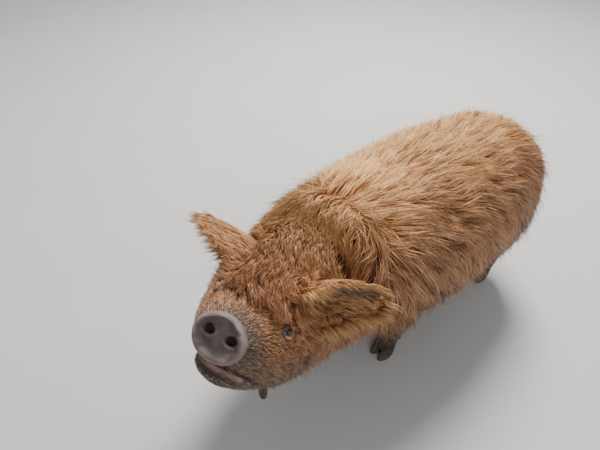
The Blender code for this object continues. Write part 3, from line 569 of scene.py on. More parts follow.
def markings(points):
    """How golden, rufous, dusky and grey the coat is at some points. The gold is partly the coat's own
    golden tips and partly painted highlight along the lit top. The dusky share is partly the coat's own
    darker hair and partly painted shade on the lower parts.
    """
    place, angle = located(points)
    up = np.cos(angle)
    blot = swirl(points, 0.16, 3)
    fine = swirl(points, 0.05, 4)
    trunk = smooth_steps(0.87, 0.72, place)
    # Golden along the top of the back, turned towards the far side where the sky lamp falls, and on the
    # neck's crest: partly the coat's own golden tips, partly painted highlight.
    top = np.cos(angle + 0.42)
    gold = smooth_steps(0.30, 0.92, top + 0.20 * blot + 0.10 * fine) * trunk
    gold += 0.75 * smooth_steps(0.10, 0.02, place) * smooth_steps(-0.1, 0.6, up)
    crest = 0.30 * smooth_steps(0.78, 0.84, place) * smooth_steps(0.93, 0.88, place)
    gold += crest * smooth_steps(0.2, 0.8, up)
    brow = smooth_steps(0.80, 0.84, place) * smooth_steps(0.99, 0.93, place) * smooth_steps(-0.05, 0.5, up)
    flank = smooth_steps(0.30, 0.50, place) * smooth_steps(0.70, 0.56, place)
    flank *= smooth_steps(0.35, -0.15, up) * smooth_steps(-0.95, -0.5, up)
    rufous = brow + 0.8 * flank
    # Dusky on the belly, the jowls, the ham and the lower flanks: painted shade where less light falls. Also
    # darker towards the feet, and in swirled patches that are the coat's own tone.
    belly = smooth_steps(-0.35, -0.95, up)
    jowl = smooth_steps(0.84, 0.90, place) * smooth_steps(0.40, -0.25, up)
    ham = smooth_steps(0.26, 0.12, place) * smooth_steps(0.75, 0.0, up)
    foot = smooth_steps(0.20, 0.06, points[:, 2])
    low = smooth_steps(0.45, -0.25, up) * smooth_steps(0.72, 0.60, place)
    dusk = 0.50 * low + 0.95 * belly + 0.80 * jowl + 0.90 * ham + 0.9 * foot
    dusk += (0.22 * blot + 0.16 * fine) * (1 - 0.7 * np.clip(gold, 0, 1))
    grey = smooth_steps(OCCIPUT_AT + 0.195, OCCIPUT_AT + 0.250, place) * smooth_steps(-0.8, 0.1, up)
    return {
        "gold": np.clip(gold, 0, 1),
        "rufous": np.clip(rufous + 0.15 * fine, 0, 1),
        "dusk": np.clip(dusk, 0, 1),
        "grey": np.clip(grey, 0, 1),
    }


MARKS = ("gold", "rufous", "dusk", "grey")


def write_values(mesh, **values):
    for name, value in values.items():
        held = mesh.attributes.new(name, "FLOAT", "POINT")
        held.data.foreach_set("value", np.ascontiguousarray(value, np.float32))


# Materials

class Look:
    """A material's node tree, with short ways to add to it."""

    def __init__(self, name):
        self.material = bpy.data.materials.new(name)
        self.material.use_nodes = True
        self.nodes = self.material.node_tree.nodes
        self.links = self.material.node_tree.links
        self.shader = self.nodes["Principled BSDF"]

    def plug(self, value, socket):
        """Links a value to a socket, or sets it there."""
        if isinstance(value, bpy.types.NodeSocket):
            self.links.new(value, socket)
        elif socket.type == "RGBA":
            socket.default_value = (*value, 1)
        else:
            socket.default_value = value

    def set(self, socket, value):
        self.plug(value, self.shader.inputs[socket])

    def node(self, kind, inputs=None, **settings):
        made = self.nodes.new(kind)
        for name, value in settings.items():
            setattr(made, name, value)
        for name, value in (inputs or {}).items():
            self.plug(value, made.inputs[name])
        return made

    def value(self, name):
        return self.node("ShaderNodeAttribute", attribute_name=name).outputs["Fac"]

    def place(self):
        return self.node("ShaderNodeTexCoord").outputs["Object"]

    def noise(self, size, detail=3.0, rough=0.55, stretch=None):
        vector = self.place()
        if stretch:
            vector = self.node("ShaderNodeMapping", {"Vector": vector, "Scale": stretch}).outputs[0]
        return self.node(
            "ShaderNodeTexNoise", {"Vector": vector, "Scale": 1 / size, "Detail": detail, "Roughness": rough}
        ).outputs["Fac"]

    def mix(self, share, a, b, blend="MIX"):
        inputs = {0: share, 6: a, 7: b}
        return self.node("ShaderNodeMix", inputs, data_type="RGBA", blend_type=blend).outputs[2]

    def math(self, operation, a, b=0.0, c=0.0, clamp=False):
        inputs = {0: a, 1: b, 2: c}
        return self.node("ShaderNodeMath", inputs, operation=operation, use_clamp=clamp).outputs[0]

    def ramp(self, share, stops):
        made = self.nodes.new("ShaderNodeValToRGB")
        made.color_ramp.elements[0].position = stops[0][0]
        made.color_ramp.elements[1].position = stops[-1][0]
        for place, colour in stops[1:-1]:
            made.color_ramp.elements.new(place)
        for element, (place, colour) in zip(made.color_ramp.elements, stops):
            element.color = (*colour, 1)
        self.links.new(share, made.inputs[0])
        return made.outputs[0]

    def bump(self, height, distance, strength=1.0):
        made = self.node("ShaderNodeBump", {"Height": height, "Distance": distance, "Strength": strength})
        self.links.new(made.outputs[0], self.shader.inputs["Normal"])


def srgb(*screen):
    """A colour given as a screen shows it: red, green and blue from 0 to 255."""
    return tuple(((c / 255 + 0.055) / 1.055) ** 2.4 if c > 10 else c / 255 / 12.92 for c in screen)


# Each kind of hair: its colour at the root and at the tip. The golden kind also serves as painted highlight,
# and the dusky kind as painted shade
HAIR = {
    "ginger": (srgb(100, 54, 28), srgb(224, 154, 96)),
    "gold": (srgb(168, 92, 38), srgb(255, 200, 128)),
    "rufous": (srgb(112, 58, 30), srgb(224, 142, 80)),
    "dusk": (srgb(56, 42, 36), srgb(146, 116, 98)),
    "grey": (srgb(70, 60, 55), srgb(146, 126, 112)),
}


def hair_colour(look, along, stray):
    """The coat's colour from its markings, from root to tip, with each hair a little different."""
    colour = look.mix(along, *HAIR["ginger"])
    for mark in ("rufous", "dusk", "gold", "grey"):
        colour = look.mix(look.value(mark), colour, look.mix(along, *HAIR[mark]))
    light = look.math("MULTIPLY_ADD", stray, 1.40, 0.30)
    grey = look.node("ShaderNodeCombineColor", {0: light, 1: light, 2: light}).outputs[0]
    colour = look.mix(1.0, colour, grey, "MULTIPLY")
    # Lighter hairs go pale towards the tip: partly their own pale ends, partly a painted glint of sheen.
    pale = look.math("MULTIPLY", look.math("POWER", stray, 2.2), look.math("MULTIPLY", along, 0.8))
    return look.mix(pale, colour, srgb(250, 224, 190))


def coat_look(name):
    look = Look(name)
    along = look.math("POWER", look.value("along"), 1.1)
    look.set("Base Color", hair_colour(look, along, look.value("stray")))
    look.set("Roughness", 0.46)
    look.set("Specular IOR Level", 0.40)
    return look.material


def skin_look():
    look = Look("pig_skin")
    fuzz = look.noise(0.0022, 4.0, 0.7, (1.0, 0.35, 0.5))
    colour = hair_colour(look, look.math("MULTIPLY", fuzz, 0.25), look.noise(0.012, 3.0))
    bare = look.mix(look.noise(0.02), srgb(150, 116, 104), srgb(200, 166, 150))
    colour = look.mix(0.75, colour, srgb(50, 34, 26))
    colour = look.mix(look.math("MULTIPLY", look.value("bare"), 0.9), colour, bare)
    # Painted shade round the eyes, in the mouth's crease and in the ear cups.
    colour = look.mix(look.value("dark"), colour, srgb(38, 26, 22))
    look.set("Base Color", colour)
    look.set("Roughness", 0.75)
    look.bump(fuzz, 0.0012, 0.6)
    return look.material


# The coat: guides follow the lie over the skin, and each carries a clump of tufts

WHORL_AT = 0.615
WHORL_ANGLE = -0.10
ROOTS = 260000
GUIDE_STEPS = 7
CHART_PATCH = 0.003
EYE_CLEAR = 0.0155
# The least distance between the roots of clumps
ROOT_GAP = 0.0050
TRUNK_GAP = 0.0135
CROWN_GAP = 0.008
HEAD_GAP = 0.0085
LEG_GAP = 0.0090
EAR_GAP = 0.0062
# How deep a tuft's root sits, the share of tufts that stand off, and how far they do
ROOT_SUNK = 0.0015
FLYAWAYS = 0.06
FLYAWAY_LIFT = 0.7
# A tuft's two rings and its tip: how far along they are, and how wide
RING_PLACES = (0.0, 0.52, 1.0)
RING_WIDTHS = (0.85, 0.85, 0.0)
# The faces of a tuft, whose points are its rings' three each and then its tip
TUFT_FACES = np.array((
    (2, 1, 0), (0, 1, 4), (0, 4, 3), (1, 2, 5), (1, 5, 4), (2, 0, 3), (2, 3, 5),
    (3, 4, 6), (4, 5, 6), (5, 3, 6),
))


def unit(vectors):
    return vectors / (np.linalg.norm(vectors, axis=-1, keepdims=True) + 1e-12)


def trunk_lie(points, normals):
    """Back along the top, down the flanks."""
    side = 1 - np.clip(normals[:, 2], 0, None)
    under = smooth_steps(0.3, 0.95, -normals[:, 2])
    back = 0.95 - 0.60 * side + 0.4 * under
    down = (0.25 + 0.95 * side) * (1 - under)
    return np.c_[0.35 * normals[:, 0], back, -down]


def face_lie(points, normals):
    """Forward over the brow, and down and back over the cheeks."""
    _, left, above = ahead_left_up(points)
    forward, leftward, up = AXES
    brow = forward * 0.9 - up * 0.25 + leftward * (0.35 + 2.5 * left)[:, None]
    cheek = np.array([0, 0, -0.9]) - forward * 0.55 + 0 * brow
    face = brow + (cheek - brow) * smooth_steps(0.045, 0.085, np.abs(left))[:, None]
    return face + (cheek - face) * smooth_steps(0.0, -0.03, above)[:, None]


def muzzle_lie(points, normals):
    """Back from the disc and down the sides of the snout."""
    left = ahead_left_up(points)[1]
    forward, leftward, up = AXES
    return -forward * 0.9 - up * 0.25 + leftward * (8 * left)[:, None]


def turning(place):
    """How far the lie has turned from the trunk's, 0, to the neck's and face's, 1."""
    return smooth_steps(WHORL_AT - 0.060, WHORL_AT + 0.060, place)


def body_lie(points, normals, astray=0):
    """Hair fans out from a whorl on the withers: back over the trunk, down, and forward over the neck."""
    place, angle = located(points)
    top = np.cos(angle)[:, None]
    in_head = smooth_steps(0.68, 0.82, place)[:, None]
    forward = unit(np.array((0, -1, 0)) * (1 - in_head) + AXES[0] * in_head)
    along = 0.25 + 0.75 * smooth_steps(-0.1, 0.85, top)
    down = 1 - 0.85 * smooth_steps(0.1, 0.95, top)
    neck = forward * along + np.array((0, 0, -1)) * down + AXES[1] * 0.25
    front = neck + (unit(face_lie(points, normals)) - neck) * smooth_steps(0.80, 0.86, place)[:, None]
    share = turning(place + astray)[:, None]
    side = np.tanh((angle - WHORL_ANGLE - 5 * astray) / 0.2)
    aside = np.c_[side * np.cos(angle), 0 * side, -side * np.sin(angle)]
    return unit(trunk_lie(points, normals)) * (1 - share) + front * share + aside * (4 * share * (1 - share))


def leg_lie(points, normals):
    return np.tile((0, 0.25, -1.0), (len(points), 1))


class Ground:
    """The skin's surface, for tufts to grow from and lie along."""

    def __init__(self, mesh, shapes):
        points = own_points(mesh)
        mesh.calc_loop_triangles()
        corners = np.empty(len(mesh.loop_triangles) * 3, np.int32)
        mesh.loop_triangles.foreach_get("vertices", corners)
        self.corners = points[corners.reshape(-1, 3)]
        self.tree = BVHTree.FromPolygons(points.tolist(), corners.reshape(-1, 3).tolist())
        self.shapes = {name: BVHTree.FromPolygons(*shape) for name, shape in shapes.items()}

    def nearest(self, points):
        found = [self.tree.find_nearest(point) for point in points.tolist()]
        return np.array([f[0] for f in found]), np.array([f[1] for f in found])

    def away(self, name, points):
        """How far points are from one of the shapes."""
        return np.array([self.shapes[name].find_nearest(p)[3] for p in points.tolist()])

    def mouth(self, points):
        """How far points lie in the mouth's crease, and how far on the lower lip below it."""
        to_body, to_jaw = self.away("body", points), self.away("jaw", points)
        far = smooth_steps(0.150, 0.185, ahead_left_up(points)[0])
        crease = smooth_steps(0.0070, 0.0040, np.maximum(to_body, to_jaw) + 0.004 * (1 - far)) * far
        lip = smooth_steps(0.016, 0.009, to_body) * smooth_steps(0.004, 0.001, to_jaw)
        return crease, lip * smooth_steps(0.175, 0.200, ahead_left_up(points)[0])

    def roots(self, count, gap):
        """Points spread over the whole skin, and the name of the shape that each lies on."""
        a, b, c = self.corners.transpose(1, 0, 2)
        area = np.linalg.norm(np.cross(b - a, c - a), axis=1)
        chosen = RNG.choice(len(area), count, p=area / area.sum())
        u, v = RNG.random((2, count, 1))
        u, v = np.where(u + v > 1, 1 - u, u), np.where(u + v > 1, 1 - v, v)
        points = a[chosen] + u * (b - a)[chosen] + v * (c - a)[chosen]
        points = points[spread_out(points, gap)]
        away = [self.away(name, points) for name in self.shapes]
        return points, np.array(list(self.shapes))[np.argmin(away, axis=0)]

    def guides(self, roots, reach, lie, wander=0.5, size=0.07):
        """Lines over the surface from some roots, as points with their normals."""
        points, normals = self.nearest(roots)
        turn = RNG.normal(0, 0.16, len(points))
        lines, tops = [points], [normals]
        for _ in range(GUIDE_STEPS):
            way = lie(points, normals)
            way = unit(way - normals * (way * normals).sum(1)[:, None])
            angle = (turn + wander * swirl(points, size, 9))[:, None]
            way = way * np.cos(angle) + np.cross(normals, way) * np.sin(angle)
            points, normals = self.nearest(points + way * (reach / GUIDE_STEPS)[:, None])
            lines.append(points)
            tops.append(normals)
        return np.stack(lines, 1), unit(np.stack(tops, 1))


def spread_out(points, gap):
    """Picks points at least about a gap apart: the first in each cell of a grid."""
    cells = np.floor(points / gap + 1e-6).astype(np.int64)
    return np.sort(np.unique(cells, axis=0, return_index=True)[1])


class Tufts:
    """Tapered three-sided tufts, gathered by the piece of the coat that they belong to."""

    def __init__(self):
        self.pieces = {}

    def grow(self, names, guides, charts, kids, spread, clump, lift, width, marks=None, short=0.7):
        """Grows a clump of tufts round each guide."""
        lines, tops = guides
        count, steps = len(lines), lines.shape[1] - 1
        which = np.repeat(np.arange(count), kids)
        total = len(which)
        spread, clump, lift, width = (np.broadcast_to(v, count)[which] for v in (spread, clump, lift, width))
        ways = unit(np.gradient(lines, axis=1))
        sides = unit(np.cross(tops, ways))
        out = spread * np.sqrt(RNG.random(total))
        bearing = RNG.uniform(0, 2 * math.pi, total)
        before, beside = out * np.cos(bearing), out * np.sin(bearing)
        share = RNG.uniform(short, 1.0, total)
        rise = lift * RNG.uniform(0.45, 1.1, total)
        flyaway = (RNG.random(total) < FLYAWAYS) * lift * FLYAWAY_LIFT
        lean = RNG.normal(0, 0.35, total) * spread
        roll = RNG.uniform(-0.7, 0.7, total)[:, None]
        rows = []
        for t, wide in zip(RING_PLACES, RING_WIDTHS):
            at = share * t * steps
            low = np.minimum(at.astype(int), steps - 1)
            part = (at - low)[:, None]
            point, way, side, top = (
                grid[which, low] * (1 - part) + grid[which, low + 1] * part
                for grid in (lines, ways, sides, tops)
            )
            side, top = unit(side), unit(top)
            close = 1 - clump * t**1.2
            height = -ROOT_SUNK + rise * t**0.75 + flyaway * t * t
            centre = point + way * (before * close)[:, None] + side * ((beside + lean * t) * close)[:, None]
            centre = centre + top * height[:, None]
            if not wide:
                rows.append(centre[:, None])
                continue
            half = (width * wide / 2)[:, None]
            flat = (side * np.cos(roll) + top * np.sin(roll)) * half
            ridge = (top * np.cos(roll) - side * np.sin(roll)) * half
            rows.append(np.stack([centre - flat, centre + flat, centre + ridge * 0.7], 1))
        marks = marks or markings(lines[:, 0])
        held = {mark: np.broadcast_to(value, count)[which] for mark, value in marks.items()}
        stray = 0.6 * RNG.random(total) + 0.4 * RNG.random(count)[which]
        held.update(points=np.concatenate(rows, 1), chart=charts[which], stray=stray)
        names = np.broadcast_to(np.array(names), count)[which]
        for name in np.unique(names):
            piece = {key: value[names == name] for key, value in held.items()}
            self.pieces.setdefault(str(name), []).append(piece)

    def build(self, look):
        made = []
        for name, parts in sorted(self.pieces.items()):
            part = {key: np.concatenate([piece[key] for piece in parts]) for key in parts[0]}
            count, size = part["points"].shape[:2]
            corners = TUFT_FACES + size * np.arange(count)[:, None, None]
            along = np.r_[np.repeat(RING_PLACES[:-1], 3), 1.0]
            across = np.array((0.0, 1.0, 0.5, 0.0, 1.0, 0.5, 0.5))
            charts = part["chart"][:, None] + np.c_[across, along] * CHART_PATCH
            points = part["points"].reshape(-1, 3)
            mesh = tuft_mesh(name, points, corners.reshape(-1, 3), charts.reshape(-1, 2))
            values = {mark: np.repeat(part[mark], size) for mark in (*MARKS, "stray")}
            write_values(mesh, along=np.tile(along, count), **values)
            made.append(put(name, mesh, look))
        return made


def tuft_mesh(name, points, corners, charts):
    mesh = bpy.data.meshes.new(name)
    mesh.vertices.add(len(points))
    mesh.vertices.foreach_set("co", (points + np.array(PLACE)).astype(np.float32).ravel())
    mesh.loops.add(corners.size)
    mesh.loops.foreach_set("vertex_index", corners.astype(np.int32).ravel())
    mesh.polygons.add(len(corners))
    mesh.polygons.foreach_set("loop_start", np.arange(0, corners.size, 3, dtype=np.int32))
    mesh.update(calc_edges=True)
    layer = mesh.uv_layers.new(name="OFBake")
    layer.data.foreach_set("uv", charts[corners.ravel()].astype(np.float32).ravel())
    mesh.shade_smooth()
    return mesh


# Which part of the coat a tuft belongs to, and how its clump is made

def body_chart(place, angle):
    return np.c_[0.02 + 0.72 * place / SNOUT_AT, 0.02 + 0.66 * (angle / (2 * math.pi) + 0.5)]


def nearest_of(points, centres):
    return np.min([np.linalg.norm(points - np.array(c), axis=1) for c in centres], axis=0)


def from_eyes(points):
    """How far points are from the nearer eyeball's centre."""
    return nearest_of(points, [eye_place(side)[0] for side in (1, -1)])


def side_names(prefix, points):
    return np.char.add(prefix, np.where(points[:, 0] > 0, "left", "right"))


def grow_trunk(tufts, ground, roots):
    place, angle = located(roots)
    crown = roots[(np.abs(place - WHORL_AT) < 0.040) & (np.abs(angle - WHORL_ANGLE) < 0.35)]
    crown = crown[spread_out(crown, CROWN_GAP)]
    roots = np.concatenate([roots[spread_out(roots, TRUNK_GAP)], crown])
    place, angle = located(roots)
    top = np.cos(angle)
    reach = 0.092 + 0.012 * smooth_steps(0.3, -0.2, top) - 0.018 * smooth_steps(-0.5, -0.95, top)
    reach *= (1 - 0.15 * smooth_steps(0.60, 0.78, place)) * RNG.uniform(0.85, 1.1, len(roots))
    lift = 0.025 - 0.006 * smooth_steps(-0.4, -0.95, top)
    lift *= 0.55 + 0.45 * smooth_steps(0.0, 0.06, place)
    share = turning(place)
    lift += 0.032 * share * (1 - share)
    parts = ["rump", "ham", "loin", "barrel", "flank", "shoulder", "withers"]
    part = np.select([place < limit for limit in (0.08, 0.17, 0.27, 0.37, 0.47, 0.57, 0.67)], parts, "neck")
    names = np.char.add(np.char.add("coat_", part), np.where(angle > 0, "_left", "_right"))
    astray = RNG.normal(0, 0.015, len(roots))
    astray[-len(crown):] *= 4
    guides = ground.guides(roots, reach, lambda points, normals: body_lie(points, normals, astray))
    clump = RNG.uniform(0.25, 0.75, len(roots))
    charts = body_chart(place, angle)
    tufts.grow(names, guides, charts, kids=15, spread=0.0115, clump=clump, lift=lift, width=0.0020)


def grow_head(tufts, ground, roots):
    roots = roots[from_eyes(roots) > EYE_CLEAR]
    roots = roots[spread_out(roots, HEAD_GAP)]
    place, angle = located(roots)
    ahead = ahead_left_up(roots)[0]
    top = smooth_steps(0.1, 0.7, np.cos(angle))
    near = np.clip((from_eyes(roots) - 0.012) / 0.045, 0.10, 1)
    reach = (0.058 - 0.020 * smooth_steps(0.10, 0.15, ahead) * (1 - top)) * near
    lift = (0.016 + 0.005 * top - 0.010 * smooth_steps(0.09, 0.15, ahead) * (1 - top)) * near
    guides = ground.guides(roots, reach, face_lie, wander=0.25, size=0.06)
    clump = RNG.uniform(0.3, 0.75, len(roots))
    names = side_names("coat_head_", roots - np.array(OCCIPUT))
    charts = body_chart(place, angle)
    tufts.grow(names, guides, charts, kids=14, spread=0.0075, clump=clump, lift=lift, width=0.0015)


def grow_muzzle(tufts, ground, roots):
    mouth, lip = ground.mouth(roots)
    roots = roots[(from_eyes(roots) > EYE_CLEAR) & (mouth < 0.3) & (lip < RNG.random(len(roots)))]
    place, angle = located(roots)
    front = smooth_steps(0.15, 0.25, place - OCCIPUT_AT)
    near = np.clip((from_eyes(roots) - 0.010) / 0.020, 0.2, 1)
    reach, lift = (0.024 - 0.010 * front) * near, 0.0050 - 0.0026 * front
    guides = ground.guides(roots, reach, muzzle_lie, wander=0.35, size=0.03)
    charts = body_chart(place, angle)
    tufts.grow("coat_muzzle", guides, charts, kids=4, spread=0.0045, clump=0.25, lift=lift, width=0.0013)


def grow_leg(tufts, ground, name, roots):
    roots = roots[roots[:, 2] > 0.032]
    roots = roots[spread_out(roots, LEG_GAP)]
    high = smooth_steps(0.05, 0.20, roots[:, 2])
    lines, tops = ground.guides(roots, 0.013 + 0.050 * high, leg_lie, wander=0.35, size=0.05)
    lines[:, :, 2] = np.maximum(lines[:, :, 2], 0.028)
    corner = LEGS.index(name) * 0.24
    middle = roots.mean(0)
    bearing = np.arctan2(roots[:, 0] - middle[0], roots[:, 1] - middle[1]) / (2 * math.pi) + 0.5
    charts = np.c_[0.02 + corner + 0.20 * bearing, 0.70 + 0.8 * roots[:, 2]]
    lift, width = 0.002 + 0.012 * high, 0.0012 + 0.0006 * high
    piece = "coat_legs_" + name.split("_")[0]
    tufts.grow(piece, (lines, tops), charts, kids=6, spread=0.0075, clump=0.45, lift=lift, width=width)


def rim_guides(side, edge, count, reach):
    """Guides that leave an ear's rim: outward near its root and along it near the tip."""
    length_way = ear_frame(side)[1]
    fall = Vector((0, 0, -0.3))
    lines, tops = [], []
    for _ in range(count):
        along = RNG.uniform(0.10, 0.98)
        inside = ear_point(side, along, 0.86 * edge)
        out = (ear_point(side, along, edge) - inside).normalized()
        way = (length_way * mix(0.9, 1.25, along) + out * (0.85 - 0.55 * along)).normalized()
        normal = length_way.cross(out).normalized()
        way = (way + normal * RNG.normal(0, 0.12)).normalized()
        long = reach * RNG.uniform(0.55, 1.25)
        lines.append([
            inside + (way + fall * (k / GUIDE_STEPS) ** 1.5) * (long * k / GUIDE_STEPS)
            for k in range(GUIDE_STEPS + 1)
        ])
        tops.append([normal] * (GUIDE_STEPS + 1))
    return np.array(lines), np.array(tops)


# How golden, rufous, dusky and grey the hair of the ears and the tail is. The cup's dusky hair is painted
# shade under the ear's upper rim
EAR_BACK = {"gold": 0.75, "rufous": 0.0, "dusk": 0.0, "grey": 0.0}
EAR_CUP_SHADE = {"gold": 0.15, "rufous": 0.1, "dusk": 0.9, "grey": 0.0}
EAR_RIM = {"gold": 1.0, "rufous": 0.0, "dusk": 0.0, "grey": 0.0}
EAR_LOWER = {"gold": 0.55, "rufous": 0.3, "dusk": 0.1, "grey": 0.0}
TAIL_HAIR = {"gold": 0.2, "rufous": 0.3, "dusk": 0.25, "grey": 0.0}
# Each edge of an ear: its side of the cup, its guides, their reach and their hair
EAR_RIMS = ((-1, 170, 0.042, EAR_RIM), (1, 110, 0.042, EAR_LOWER))
# The tail's guides, and the length of the tail between two of its points
TAIL_GUIDES = 240
TAIL_STEP = 0.042
LASHES = 26
LASH_LENGTH = 0.009


def grow_ears(tufts, ground, roots, shapes):
    for number, side in enumerate(EARS):
        root, length_way, facing, width_way = (np.array(v) for v in ear_frame(side)[:4])
        on_ear = roots[shapes == "ear_" + side]
        on_ear = on_ear[spread_out(on_ear, EAR_GAP)]
        along = (on_ear - root) @ length_way / (EAR_LENGTH + EAR_SUNK)

        def ear_lie(points, normals):
            across = (points - root) @ width_way / EAR_HALF_WIDTH
            return length_way + width_way * (0.45 * across)[:, None] + np.array((0, 0, -0.15))

        reach = 0.030 * (1 - 0.6 * smooth_steps(0.65, 0.95, along))
        lines, tops = ground.guides(on_ear, reach, ear_lie, wander=0.3, size=0.04)
        across = (on_ear - root) @ width_way / EAR_HALF_WIDTH
        # Hair in the cup just under the upper rim turns dusky: painted shade.
        cup = smooth_steps(0.1, 0.5, tops[:, 0] @ facing) * smooth_steps(0.25, -0.15, across)
        cup *= smooth_steps(-0.80, -0.50, across)
        free = smooth_steps(0.16, 0.40, along)
        marks = {
            mark: value + (EAR_BACK[mark] + (EAR_CUP_SHADE[mark] - EAR_BACK[mark]) * cup - value) * free
            for mark, value in markings(on_ear).items()
        }
        corner = np.array((0.78 + 0.10 * number, 0.40))
        beside = np.clip((on_ear - root) @ width_way * 8 + 0.5, 0, 1)
        charts = corner + 0.07 * np.c_[np.clip(along, 0, 1), beside]
        name = "coat_ear_" + side
        size = {"spread": 0.0052, "width": 0.0012}
        tufts.grow(name, (lines, tops), charts, kids=6, clump=0.4, lift=0.0055, marks=marks, **size)
        for edge, count, reach, mark in EAR_RIMS:
            guides = rim_guides(side, edge, count, reach)
            charts = corner + RNG.random((count, 2)) * 0.07
            tufts.grow(name, guides, charts, kids=10, clump=0.6, lift=0.004, marks=mark, short=0.5, **size)


def grow_tassels(tufts, ground, roots):
    guides = ground.guides(roots, np.full(len(roots), 0.016), leg_lie, wander=0.2)
    charts = np.c_[0.90 + 0.05 * (roots[:, 0] > 0), 0.70 + roots[:, 2]]
    tufts.grow("coat_tassels", guides, charts, kids=3, spread=0.003, clump=0.3, lift=0.0025, width=0.0009)


def grow_tail(tufts):
    rows = [(k, *p) for k, p in enumerate(TAIL)]
    last = len(TAIL) - 1
    lines, tops = [], []
    for _ in range(TAIL_GUIDES):
        at = RNG.uniform(0.9, last - 0.02)
        radius = mix(*TAIL_RADIUS, at / last)
        bearing = RNG.uniform(0, 2 * math.pi)
        long = 0.026 + 0.034 * smoothstep(last - 1.6, last - 0.2, at)
        line, normals = [], []
        for k in range(GUIDE_STEPS + 1):
            here = at + k / GUIDE_STEPS * long / TAIL_STEP
            held = min(here, last - 0.001)
            point, after = (Vector(stations_at(rows, min(x, last))) for x in (held - 0.02, held + 0.02))
            way = (after - point).normalized()
            up = Vector((1, 0, 0)).cross(way).normalized()
            normal = up * math.cos(bearing) + up.cross(way) * math.sin(bearing)
            line.append(point + way * ((here - held) * TAIL_STEP) + normal * radius)
            normals.append(normal)
        lines.append(line)
        tops.append(normals)
    charts = np.c_[0.90 + 0.05 * RNG.random(len(lines)), 0.55 + 0.1 * RNG.random(len(lines))]
    guides = np.array(lines), np.array(tops)
    size = {"kids": 10, "spread": 0.004, "clump": 0.3, "lift": 0.006, "width": 0.0015}
    tufts.grow("coat_tail", guides, charts, marks=TAIL_HAIR, **size)


def grow_lashes(tufts):
    """Short pale lashes on the upper lids."""
    for side in (1, -1):
        centre, outward = eye_place(side)
        turn = turned_to(outward, HEAD_FORWARD)
        lines, tops = [], []
        for k in range(LASHES):
            t = -1 + 2 * (k + RNG.uniform(-0.3, 0.3)) / (LASHES - 1)
            wayward = turn @ Vector((t * 0.85, side * math.sqrt(max(1.1 - t * t, 0)) * 0.55, 1)).normalized()
            start = centre + wayward * (EYE_RADIUS + LID_THICK * 0.6)
            bend = (wayward * 0.6 + outward * 0.5 - HEAD_UP * 0.5).normalized()
            lines.append([start + bend * (LASH_LENGTH * i / GUIDE_STEPS) for i in range(GUIDE_STEPS + 1)])
            tops.append([wayward] * (GUIDE_STEPS + 1))
        charts = np.tile((0.96, 0.45 + 0.05 * (side > 0)), (LASHES, 1))
        guides = np.array(lines), np.array(tops)
        size = {"kids": 2, "spread": 0.0006, "clump": 0.3, "lift": 0.0015, "width": 0.00045}
        tufts.grow("coat_lashes", guides, charts, marks=EAR_RIM, **size)


def grow_coat(ground):
    tufts = Tufts()
    roots, shapes = ground.roots(ROOTS, ROOT_GAP)
    ahead = ahead_left_up(roots)[0]
    head = np.isin(shapes, ("body", "jaw"))
    in_neck = RUMP_Y - roots[:, 1] > SHOULDER_AT
    grow_trunk(tufts, ground, roots[head & ((ahead < 0.035) | ~in_neck)])
    grow_head(tufts, ground, roots[head & in_neck & (ahead > 0.030) & (ahead < 0.155)])
    on_muzzle = (ahead > 0.150) & (ahead < SNOUT_AT - OCCIPUT_AT - 0.002)
    grow_muzzle(tufts, ground, roots[head & in_neck & on_muzzle])
    for name in LEGS:
        grow_leg(tufts, ground, name, roots[shapes == name])
    grow_ears(tufts, ground, roots, shapes)
    grow_tassels(tufts, ground, roots[np.char.startswith(shapes, "tassel")])
    grow_tail(tufts)
    grow_lashes(tufts)
    for piece in tufts.build(coat_look("pig_coat")):
        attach(piece, "root")


# Skin, eyes, disc, hooves

def skin_shapes():
    """The shapes that make up the animal under its coat, by name."""
    shapes = {"body": body_shape(), "jaw": jaw_shape()}
    for end, stations in (("front", FRONT_LEG), ("hind", HIND_LEG)):
        for name, side in SIDES:
            shapes[f"{end}_{name}"] = leg_shape(stations, side)
    for side in EARS:
        shapes["ear_" + side] = ear_shape(side)
    tail_radii = (TAIL_RADIUS[0] * 0.8, TAIL_RADIUS[0] * 0.6, TAIL_RADIUS[1], TAIL_RADIUS[1] * 0.8)
    shapes["tail"] = line_shape(TAIL, tail_radii, 40)
    for name, side in SIDES:
        shapes["tassel_" + name] = tassel_shape(side)
        shapes["lids_" + name] = ball_shape(eye_place(side)[0], EYE_RADIUS + LID_THICK, 24, 16)
    return shapes


def make_skin(shapes):
    """The whole skin as one surface."""
    skin = put("pig_skin", plain_mesh("pig_skin", *joined(shapes.values())))
    remesh = skin.modifiers.new("one_surface", "REMESH")
    remesh.mode = "VOXEL"
    remesh.voxel_size = VOXEL
    applied(skin)
    relaxed(skin.data, *SKIN_SMOOTHING)
    place, angle = located(own_points(skin.data))
    fold = smooth_steps(0.70, 0.76, place) * smooth_steps(0.86, 0.82, place)
    fold *= smooth_steps(-0.2, 0.3, np.cos(angle))
    rounds, strength = FOLD_SMOOTHING
    relaxed(skin.data, rounds, (strength * fold)[:, None])
    return skin


def ball_shape(centre, radius, around, down):
    rings = []
    for k in range(1, down):
        angle = math.pi * k / down
        ring_centre = centre + Vector((0, 0, radius * math.cos(angle)))
        across = radius * math.sin(angle)
        rings.append(oval(ring_centre, Vector((1, 0, 0)), Vector((0, 1, 0)), across, across, around))
    return tube_shape(rings)


def turned_to(direction, across):
    """A turn whose Z is the direction and whose X lies nearest to across."""
    z = direction.normalized()
    y = z.cross(across).normalized()
    return Matrix((y.cross(z), y, z)).transposed()


